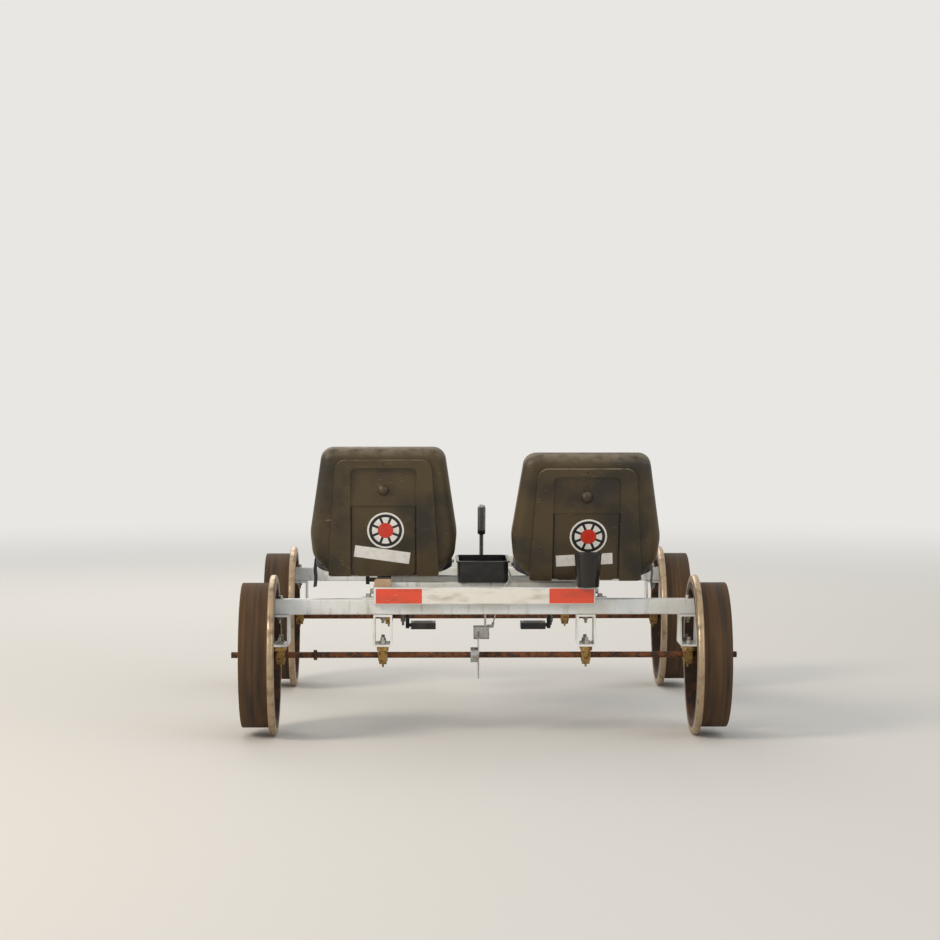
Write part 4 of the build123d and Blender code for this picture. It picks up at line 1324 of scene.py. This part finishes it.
@dataclass(frozen=True)
class Chain:
    """One roller chain from chain ring to axle sprocket: alternate inner and outer links."""

    side: str
    pitch: float = 12.7 * MM
    ring_teeth: int = 44
    sprocket_teeth: int = 16
    chainline: float = 55 * MM
    roller_radius: float = 3.9 * MM
    pin_radius: float = 1.8 * MM
    pin_extra: float = 0.6 * MM
    plate_height: float = 8.6 * MM
    plate_rounding: float = 0.46
    plate_waist: float = 0.68
    plate_thickness: float = 1.2 * MM
    inner_gap: float = 4.0 * MM
    sprocket_y: float = 0.7
    sprocket_z: float = 0.266
    slack: float = 5 * MM

    def build(self) -> None:
        """Make the links once, and set a copy at each pitch of the loop."""
        boom_x, ring_y, ring_z = joint_place(f"{self.side}_crank_turn")
        x = boom_x - math.copysign(self.chainline, boom_x)
        loop = [Vector((x, y, z)) for y, z in self.loop(ring_y, ring_z)]
        inner, outer = [
            self.link(self.inner_gap / 2 + self.plate_thickness * out) for out in (0, OUTER_PLATE_OUT)
        ]
        pieces = []
        for k, (here, there) in enumerate(zip(loop, [*loop[1:], loop[0]])):
            run = there - here
            turn = Matrix.Rotation(math.atan2(run.z, run.y), 4, "X")
            stretch = Matrix.Scale(run.length / self.pitch, 4, (0, 1, 0))
            pieces.append(copied((inner, outer)[k % 2], Matrix.Translation(here) @ turn @ stretch))
        for model in (inner, outer):
            bpy.data.objects.remove(model)
        piece = joined(f"{self.side}_roller_chain", pieces)
        fitted(smooth(piece, 30.0), "frame", OILY, [f"{self.side}_chain"])

    def loop(self, ring_y: float, ring_z: float) -> list[tuple[float, float]]:
        """Work out where each roller lies.

        Args:
            ring_y: The crank axis' place forwards.
            ring_z: The crank axis' height.

        Returns:
            Roller centres as (y, z): in the gaps of both wheels, and evenly along the two runs.
        """
        both_teeth = (self.ring_teeth, self.sprocket_teeth)
        ring, sprocket = [self.pitch / 2 / math.sin(math.pi / teeth) for teeth in both_teeth]
        dy, dz = self.sprocket_y - ring_y, self.sprocket_z - ring_z
        heading = math.atan2(dz, dy)
        wrap = math.acos((ring - sprocket) / math.hypot(dy, dz))
        wheels = (
            (ring_y, ring_z, ring, self.ring_teeth, heading + wrap, heading + 2 * math.pi - wrap),
            (self.sprocket_y, self.sprocket_z, sprocket, self.sprocket_teeth, heading - wrap, heading + wrap),
        )
        arcs = []
        for y, z, radius, teeth, first, last in wheels:
            step = 2 * math.pi / teeth
            gaps = range(math.ceil(first / step), math.floor(last / step) + 1)
            arcs.append([(y + radius * math.cos(k * step), z + radius * math.sin(k * step)) for k in gaps])
        points = []
        for arc, after, slack in ((arcs[0], arcs[1], self.slack), (arcs[1], arcs[0], 0.0)):
            (y0, z0), (y1, z1) = arc[-1], after[0]
            count = round(math.hypot(y1 - y0, z1 - z0) / self.pitch)
            points += arc
            for k in range(1, count):
                share = k / count
                sag = slack * 4 * share * (1 - share)
                points.append((y0 + (y1 - y0) * share, z0 + (z1 - z0) * share - sag))
        return points

    def link(self, plate_in: float) -> Object:
        """Model one link along Y: two waisted plates, and a roller on its pin at the near end.

        Args:
            plate_in: How far out its plates start.

        Returns:
            The link, from the origin to one pitch along Y.
        """
        parts = []
        for side in SIDES:
            size = (self.plate_thickness, self.pitch + self.plate_height, self.plate_height)
            plate = block(size, (side * (plate_in + self.plate_thickness / 2), self.pitch / 2, 0))
            with editing(plate):
                round_edges(plate, ALONG_X, self.plate_height * self.plate_rounding, 3)
                slice_at(ALONG_Y, self.pitch / 2)
                pick(plate, Part.VERT, lambda spot, _: abs(spot.y - self.pitch / 2) < SAME_PLACE)
                bpy.ops.transform.resize(value=(1, 1, self.plate_waist))
            parts.append(plate)
        width = 2 * (plate_in + self.plate_thickness) + self.pin_extra
        for radius, depth, sides in ((self.roller_radius, self.inner_gap, 12), (self.pin_radius, width, 8)):
            turned = {"vertices": sides, "radius": radius, "depth": depth, "rotation": (0, math.pi / 2, 0)}
            parts.append(settle(start("cylinder", **turned)))
        return joined("link", parts)


@dataclass(frozen=True)
class BrakeCable:
    """The brake's inner line in its jacket, from the lever, along the tray, to the caliper's arm."""

    diameter: float = 5 * MM
    length: float = 0.674
    route_mm: tuple[Place, ...] = (
        (6, -164, 530), (29, -164, 530), (57, -170, 524), (82, -192, 517), (93, -230, 515), (95, -280, 514),
        (94, -336, 513), (95, -396, 513), (93, -456, 513), (92, -516, 513), (90, -574, 510), (80, -622, 500),
        (62, -650, 478), (48, -658, 448), (41, -660, 416), (36, -666, 390), (30, -678, 370),
    )

    def build(self) -> None:
        """Lay the cable as one smooth line."""
        route = [[axis * MM for axis in spot] for spot in self.route_mm]
        line = tube("brake_line", route, self.diameter / 2, section=5, bends=8, closed=False)
        fitted(line, "frame", JACKET, ["brake_cable"])
        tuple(route[0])


@dataclass(frozen=True)
class Pad:
    """A vinyl pad stuffed with foam: flat where it rests, crowned on top, with a sewn border and channels."""

    half_width: float
    top_half_width: float
    length: float
    thickness: float
    corner: float
    border: float = 30 * MM
    channels: tuple[float, ...] = (-0.33, 0.33)
    voxel: float = 5 * MM
    room: float = 8 * MM
    cap: float = 24 * MM
    pressure: float = 4.0
    frames: int = 20
    groove_depth: float = 5 * MM
    groove_width: float = 5 * MM
    piping_radius: float = 2.6 * MM
    piping_lift: float = 0.75
    piping_corner: float = 6 * MM
    piping_steps: int = 12
    top_rounding: float = 0.28
    sewn_slope: float = 0.25

    def taper(self, along: float) -> float:
        """Half the pad's width at a share of its length, from 0 at the wide end."""
        return self.half_width + (self.top_half_width - self.half_width) * along

    def blank(self) -> Object:
        """Cut the foam a little too small: a tapered block on the XY plane, corners and top edge rounded."""
        height = self.thickness - self.room * 1.3
        size = (2 * (self.half_width - self.room), self.length - 2 * self.room, height)
        piece = block(size, (0, self.length / 2, height / 2))
        with editing(piece):
            pick(piece, Part.VERT, lambda spot, _: spot.y > self.length / 2)
            bpy.ops.transform.resize(value=(self.top_half_width / self.half_width, 1, 1))
            round_edges(piece, ALONG_Z, self.corner, 8)
            pick(piece, Part.FACE, lambda _, normal: normal.z > PARALLEL)
            bpy.ops.mesh.region_to_loop()
            bpy.ops.mesh.bevel(offset=self.thickness * self.top_rounding, segments=5)
        return piece

    def stuff(self, piece: Object) -> None:
        """Blow the skin up with Cloth, cap how far it moves, keep its seat flat, and add one subdivision."""
        alone(piece).data.remesh_voxel_size = self.voxel
        bpy.ops.object.voxel_remesh()
        rest = [v.co.copy() for v in piece.data.vertices]
        cloth = piece.modifiers.new("cloth", "CLOTH")
        cloth.settings.use_pressure = True
        cloth.settings.uniform_pressure_force = self.pressure
        cloth.settings.effector_weights.gravity = 0.0
        for step in range(1, self.frames + 1):
            bpy.context.scene.frame_set(step)
        bpy.ops.object.modifier_apply(modifier=cloth.name)
        bpy.context.scene.frame_set(1)
        for vert, was in zip(piece.data.vertices, rest):
            moved = vert.co - was
            vert.co = was + moved * (self.cap / (self.cap + moved.length))
        for vert in piece.data.vertices:
            vert.co.z = max(vert.co.z, 0.0)
        cast(piece, "SUBSURF", levels=1, render_levels=1)

    def edge_distance(self, spot: Vector) -> float:
        """How far inside the pad's outline a point lies."""
        half = self.taper(spot.y / self.length)
        corner = self.corner
        dx = abs(spot.x) - (half - corner)
        dy = abs(spot.y - self.length / 2) - (self.length / 2 - corner)
        outside = math.hypot(max(dx, 0), max(dy, 0))
        return corner - outside - min(max(dx, dy), 0)

    def sew(self, piece: Object) -> None:
        """Pull the border seam and the channels in."""
        # All normals are read before the first point moves, as each move would have them worked out anew.
        facing = [vert.normal.z for vert in piece.data.vertices]
        for vert, up in zip(piece.data.vertices, facing):
            if up < self.sewn_slope:
                continue
            inside = self.edge_distance(vert.co)
            reach = [abs(inside - self.border)]
            if inside > self.border:
                half = self.taper(vert.co.y / self.length)
                reach += [abs(vert.co.x - share * half) for share in self.channels]
            vert.co.z -= self.groove_depth * math.exp(-((min(reach) / self.groove_width) ** 2))

    def welt(self, piece: Object) -> Object:
        """Lay piping in the border seam, on the surface of the pad."""
        corner = max(self.corner - self.border, self.piping_corner)
        inside = self.border + corner
        arcs: list[list[Vector]] = []
        for quarter, (side, end) in enumerate(((1, 1), (-1, 1), (-1, -1), (1, -1))):
            arcs.append([])
            for k in range(6):
                angle = math.radians(90 * quarter + 18 * k)
                y = self.length / 2 + end * (self.length / 2 - inside) + corner * math.sin(angle)
                x = side * (self.taper(y / self.length) - inside) + corner * math.cos(angle)
                arcs[-1].append(Vector((x, y, 0)))
        line = []
        for arc, following in zip(arcs, [*arcs[1:], arcs[0]]):
            steps = range(1, self.piping_steps)
            line += arc + [arc[-1].lerp(following[0], k / self.piping_steps) for k in steps]
        top = height_finder(piece)
        for spot in line:
            spot.z = top(spot.x, spot.y) + self.piping_radius * self.piping_lift
        alone(tube("piping", line, self.piping_radius, section=2, bends=3, closed=True))
        bpy.ops.object.convert(target="MESH")
        return smooth(bpy.context.object)

    def model(self) -> tuple[Object, Object]:
        """Cut, stuff and sew the pad.

        Returns:
            The pad and its piping, both in the pad's own space.
        """
        piece = self.blank()
        self.stuff(piece)
        self.sew(piece)
        return smooth(piece, 60.0), self.welt(piece)


# Where the back's pad lies in the upright back's own space: heights, and places front to rear.
BACK_PAD_BOTTOM, BACK_PAD_TOP = 45 * MM, 364 * MM
BACK_PAD_REAR, BACK_PAD_FRONT = -15 * MM, 68 * MM


@dataclass(frozen=True)
class Seat:
    """One seat: its two pads, the sloping floor in its back's channel, its lap belt and its stickers."""

    side: str
    lean_deg: float
    seat_pad: tuple[Object, Object]
    back_pad: tuple[Object, Object]
    strip_tilt_deg: float
    channel_floor: float = -22 * MM
    channel_width: float = 223.4 * MM
    ramp_top: float = 309 * MM
    ramp_foot: float = 196.5 * MM
    ramp_rise: float = 13 * MM
    ramp_run_out: float = 0.96
    ramp_rounding: float = 2.5 * MM

    @property
    def pivot(self) -> Vector:
        """The back's pivot at rest."""
        return joint_place(f"{self.side}_back_recline")

    @property
    def back_space(self) -> Matrix:
        """From the upright back's own space to the object's."""
        return Matrix.Translation(self.pivot) @ Matrix.Rotation(math.radians(self.lean_deg), 4, "X")

    def add(
        self, piece: Object, name: str, part: str, slot: str, finish: Finish, replaces: Sequence[str] = ()
    ) -> Object:
        """Name a finished piece after the seat's side and fit it.

        Args:
            piece: The piece, at its place.
            name: Its name after the side.
            part: Seat or back, as the body is named.
            slot: The record's material slot; not used.
            finish: Its finish.
            replaces: The nodes that it stands for, named after the side.

        Returns:
            The same piece.
        """
        nodes = [f"{self.side}_{node}" for node in replaces]
        return fitted(named(piece, f"{self.side}_{name}"), f"{self.side}_{part}", finish, nodes)

    def build(self) -> None:
        """Set the pads, and make the belt and the stickers."""
        low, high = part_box(f"{self.side}_seat_cushion")
        level = Matrix.Translation(((low.x + high.x) / 2, low.y, low.z))
        stand = Matrix(((-1, 0, 0, 0), (0, 0, 1, BACK_PAD_REAR), (0, 1, 0, BACK_PAD_BOTTOM), (0, 0, 0, 1)))
        cushion = self.upholster(self.seat_pad, level, "seat")
        self.upholster(self.back_pad, self.back_space @ stand, "back")
        LapBelt(self).build(cushion)
        self.ramp()
        Stickers(self).build()

    def ramp(self) -> None:
        """The channel's sloping floor: a wedge that grows from its top edge down to the door's ledge."""
        rise, floor = self.ramp_rise, self.channel_floor
        size = (self.channel_width, rise, self.ramp_top - self.ramp_foot)
        wedge = block(size, (0, floor - rise / 2, (self.ramp_top + self.ramp_foot) / 2))
        # Only the wedge's outer face lies past this depth, and only its upper edge above the foot.
        past = floor - rise * 0.9
        with editing(wedge):
            pick(wedge, Part.VERT, lambda spot, _: spot.z > self.ramp_foot + 1 * MM and spot.y < past)
            bpy.ops.transform.translate(value=(0, rise * self.ramp_run_out, 0))
            pick(wedge, Part.EDGE, lambda middle, run: abs(run.x) > PARALLEL and middle.y < past)
            bpy.ops.mesh.bevel(offset=self.ramp_rounding, segments=4)
        wedge.data.transform(self.back_space)
        self.add(smooth(wedge), "back_ramp", "back", "shell_plastic", SHELL)

    def upholster(self, models: tuple[Object, Object], place: Matrix, part: str) -> Object:
        """Set a copy of a pad and its piping in the seat or the back.

        Args:
            models: The pad and its piping.
            place: From the pad's own space to the object's.
            part: Seat or back, as the body and the cushion's node are named.

        Returns:
            The pad.
        """
        pad, trim = [copied(model, place) for model in models]
        self.add(pad, f"{part}_pad", part, "seat_vinyl", VINYL, [f"{part}_cushion"])
        self.add(trim, f"{part}_pad_piping", part, "seat_vinyl", VINYL)
        return pad


@dataclass(frozen=True)
class LapBelt:
    """A seat's belt: webbing over the pad and down both sides of the pan, with short straps behind it."""

    seat: Seat
    setback: float = 170 * MM
    width: float = 46 * MM
    short_width: float = 37.72 * MM
    thickness: float = 1.6 * MM
    cushion_half: float = 218 * MM
    cushion_edge: float = 26 * MM
    pan_half: float = 228 * MM
    pan_setback: float = 58 * MM
    pan_corner: float = 45 * MM
    belt_out: float = 2.5 * MM
    flange_out: float = 3.3 * MM
    anchor_up: float = 13 * MM
    tail_out: float = 5 * MM
    # How far out, how far forwards and how high the tail is, in millimetres from its foot.
    tail_mm: tuple[Place, ...] = ((0, 0, 34), (4, 0.6, 12), (7, 3, -18), (5, 8.4, -46), (8, 6, -78))
    rear_out: float = 3.2 * MM
    rear_inner_end: float = 42 * MM
    rear_straight: float = 20 * MM
    rear_front_end: float = 74 * MM
    rear_foot_mm: float = 14
    rear_rise_mm: float = 6
    rear_bolt_in: float = 26 * MM
    rear_bolt_up: float = 18 * MM
    buckle_in: float = 40 * MM
    buckle_up: float = 8.5 * MM
    buckle_size: Place = (66 * MM, 54 * MM, 15 * MM)
    buckle_corner: float = 9 * MM
    buckle_rim: float = 4 * MM
    buckle_crown: float = 2 * MM
    button_size: Place = (20 * MM, 34 * MM, 3 * MM)
    button_place: Place = (18 * MM, 0, 18.8 * MM)

    @property
    def middle(self) -> Place:
        """The middle of the belt across and along the car, and the height of its ends."""
        pivot = self.seat.pivot
        return pivot.x, pivot.y + self.setback + self.width / 2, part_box(f"{self.seat.side}_lap_belt")[0].z

    def build(self, cushion: Object) -> None:
        """Lay the belt over a pad, and hang its loose end and the short straps.

        Args:
            cushion: The pad.
        """
        self.over_pad(cushion)
        self.hanging_tail()
        self.rear_straps()

    def over_pad(self, cushion: Object) -> None:
        """Lay the belt over a pad and down both sides of the pan, with its buckle and bolts.

        Args:
            cushion: The pad.
        """
        x, y, foot = self.middle
        top = height_finder(cushion)
        crown = []
        for share in (k / 4 for k in range(-4, 5)):
            spot_x = x + share * (self.cushion_half - self.cushion_edge)
            heights = [top(spot_x, y + k / 4 * self.width) for k in range(-2, 3)]
            crown.append(Vector((spot_x, y, max(heights) + self.thickness)))
        out = self.pan_half + self.belt_out
        # From the foot up beside the pan, and in under the pad's edge.
        hang = ((out, foot), (out + 1 * MM, foot + 32 * MM), (out - 8 * MM, crown[0].z - 16 * MM))
        route = [
            *[Vector((x - reach, y, z)) for reach, z in hang], *crown,
            *[Vector((x + reach, y, z)) for reach, z in reversed(hang)],
        ]
        belt = strap("belt", catmull(route, 5), ALONG_Y, self.width, self.thickness)
        self.seat.add(belt, "belt", "seat", "belt_webbing", WEBBING, ["lap_belt"])
        self.buckle(Vector((x - self.buckle_in, y, crown[3].z)))
        flange = self.pan_half + self.flange_out
        self.bolts("belt_anchors", [
            aimed((x + side * flange, y, foot + self.anchor_up), (side, 0, 0), 20.0) for side in SIDES
        ])

    def bolts(self, name: str, places: Sequence[Matrix]) -> None:
        """Set the belt's bolts, each with a broad washer, at some places."""
        heads = Fastener(flats=13 * MM, height=6 * MM, washer_radius=13 * MM)
        heads.set_at(f"{self.seat.side}_{name}", places, f"{self.seat.side}_seat")

    def hanging_tail(self) -> None:
        """The loose end of the outer strap, hanging beside the pan from its foot."""
        x, y, foot = self.middle
        outward = math.copysign(1.0, x)
        x += outward * (self.pan_half + self.tail_out)
        route = [
            Vector((x + outward * out * MM, y + on * MM, foot + up * MM)) for out, on, up in self.tail_mm
        ]
        tail = strap("tail", catmull(route, 5), Vector((0.25, 1, 0)), self.short_width, self.thickness)
        self.seat.add(tail, "belt_tail", "seat", "belt_webbing", WEBBING)

    def rear_straps(self) -> None:
        """Webbing from a bolt on the pan's rear wall round its corner to the belt, on both sides."""
        pivot = self.seat.pivot
        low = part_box(f"{self.seat.side}_seat_pan")[0].z
        bend = self.pan_corner + self.rear_out
        hub_x, hub_y = self.pan_half - self.pan_corner, pivot.y + self.pan_setback + self.pan_corner
        rear = hub_y - bend
        plan = [
            (hub_x - self.rear_inner_end, rear),
            (hub_x - self.rear_straight, rear),
            *[
                (hub_x + bend * math.sin(angle), hub_y - bend * math.cos(angle))
                for angle in (0, 0.4, 0.8, 1.2, math.pi / 2)
            ],
            (hub_x + bend, hub_y + self.rear_front_end),
        ]
        straps, places = [], []
        for side in SIDES:
            route = [
                Vector((pivot.x + side * x, y, low + (self.rear_foot_mm + self.rear_rise_mm * k) * MM))
                for k, (x, y) in enumerate(plan)
            ]
            straps.append(strap("strap", catmull(route, 3), ALONG_Z, self.short_width, self.thickness))
            across = pivot.x + side * (hub_x - self.rear_bolt_in)
            bolt = (across, rear - self.thickness / 2, low + self.rear_bolt_up)
            places.append(aimed(bolt, (0, -1, 0), 12.0))
        self.seat.add(joined("straps", straps), "rear_straps", "seat", "belt_webbing", WEBBING)
        self.bolts("rear_anchors", places)

    def buckle(self, spot: Vector) -> None:
        """A moulded buckle over the strap, with its push button."""
        case = block(self.buckle_size, spot + Vector((0, 0, self.buckle_up)))
        with editing(case):
            round_edges(case, ALONG_Z, self.buckle_corner, 4)
            inset(case, ALONG_Z, self.buckle_rim, self.buckle_crown)
        ease(case, 1.0 * MM, 2)
        self.seat.add(smooth(case), "belt_buckle", "seat", "black_plastic", ABS)
        button = ease(block(self.button_size, spot + Vector(self.button_place)), 1.2 * MM, 3)
        self.seat.add(smooth(button), "belt_button", "seat", "black_plastic", STICKER_RED)


@dataclass(frozen=True)
class Stickers:
    """What is stuck to a back's door: a round sticker with a plain spoked wheel on it, and a blank strip."""

    seat: Seat
    door_face: float = -30 * MM
    layer: float = 0.35 * MM
    film: float = 0.34 * MM
    strip_size: tuple[float, float] = (188 * MM, 40 * MM)
    strip_centre: tuple[float, float] = (-5 * MM, 28 * MM)
    centre: tuple[float, float] = (7 * MM, 112 * MM)
    radius: float = 62 * MM
    # The wheel's sizes are shares of the sticker's radius, and each bar makes two spokes.
    bars: int = 4
    bar_length: float = 0.8
    bar_width: float = 0.13
    rim: float = 0.9
    rim_hole: float = 0.74
    hub: float = 0.42

    def build(self) -> None:
        """Stick the strip and the round sticker on, then the wheel's rim, spokes and hub."""
        radius, tilt = self.radius, self.seat.strip_tilt_deg
        strip = block((*self.strip_size, 1), (*self.strip_centre, 0), tilt, kind="plane")
        self.flat("sticker_strip", [strip], 1, STICKER_WHITE)
        self.flat("sticker_base", [self.disc(radius)], 2, STICKER_WHITE)
        bar, step = (2 * radius * self.bar_length, radius * self.bar_width, 1), 180 / self.bars
        spokes = [block(bar, (*self.centre, 0), step * (k + 0.5), kind="plane") for k in range(self.bars)]
        self.flat("sticker_ring", [self.disc(radius * self.rim, radius * self.rim_hole)], 3, STICKER_BLACK)
        self.flat("sticker_spokes", spokes, 3, STICKER_BLACK)
        self.flat("sticker_hub", [self.disc(radius * self.hub)], 4, STICKER_RED)

    def flat(self, name: str, shapes: Sequence[Object], layer: int, finish: Finish) -> None:
        """Press flat shapes onto the back's door, one thin layer over another.

        Args:
            name: The piece's name after the side.
            shapes: Flat meshes on the XY plane, in the door's own width and height.
            layer: Which layer it is, from 1.
            finish: Its ink.
        """
        piece = joined(name, shapes)
        depth = self.door_face - layer * self.layer
        stand = Matrix(((1, 0, 0, 0), (0, 0, -1, depth), (0, 1, 0, 0), (0, 0, 0, 1)))
        piece.data.transform(self.seat.back_space @ stand)
        cast(piece, "SOLIDIFY", thickness=self.film, offset=-1.0)
        self.seat.add(piece, name, "back", "shell_plastic", finish)

    def disc(self, radius: float, hole: float = 0.0) -> Object:
        """A flat disc, or a ring round a hole, at the sticker's centre and facing up."""
        centre = (*self.centre, 0)
        piece = settle(start("circle", vertices=48, radius=radius, fill_type="NGON", location=centre))
        if hole:
            with editing(piece):
                bpy.ops.mesh.select_mode(type="FACE")
                bpy.ops.mesh.select_all(action="SELECT")
                bpy.ops.mesh.inset(thickness=radius - hole)
                bpy.ops.mesh.delete(type="FACE")
        return piece


def dress_frame() -> None:
    """Give each CAD node the finish of its material slot, or its own."""
    for part in frame["record"]["subparts"]:
        node = frame["nodes"][part["node"]]
        finish = NODE_FINISHES.get(part["node"], SLOT_FINISHES[part["material_slot"]])
        for slot in node.material_slots:
            slot.material = finish.material()
        LOG.info("%s: %s", part["node"], finish.name)


def build_seats() -> None:
    """Model each kind of pad once, and furnish both seats with copies."""
    low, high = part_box("left_seat_cushion")
    size = high - low
    seat_pad = Pad(size.x / 2, size.x / 2 - 4 * MM, size.y, size.z, 42 * MM).model()
    back_pad = Pad(
        220 * MM, 181 * MM, BACK_PAD_TOP - BACK_PAD_BOTTOM, BACK_PAD_FRONT - BACK_PAD_REAR, 45 * MM,
        channels=(-0.4, 0.0, 0.4),
    ).model()
    Seat("left", 10.0, seat_pad, back_pad, strip_tilt_deg=-8.0).build()
    Seat("right", 20.0, seat_pad, back_pad, strip_tilt_deg=3.0).build()
    for model in (*seat_pad, *back_pad):
        bpy.data.objects.remove(model)


def main() -> None:
    """Dress the frame, build the rest around it, and set up the studio."""
    logging.basicConfig(level=logging.INFO, format="%(relativeCreated)6d %(message)s")
    dress_frame()
    Underframe().build()
    for side in ("left", "right"):
        Chain(side).build()
    BrakeCable().build()
    build_seats()
    Studio().build()


if __name__ == "__main__":
    main()
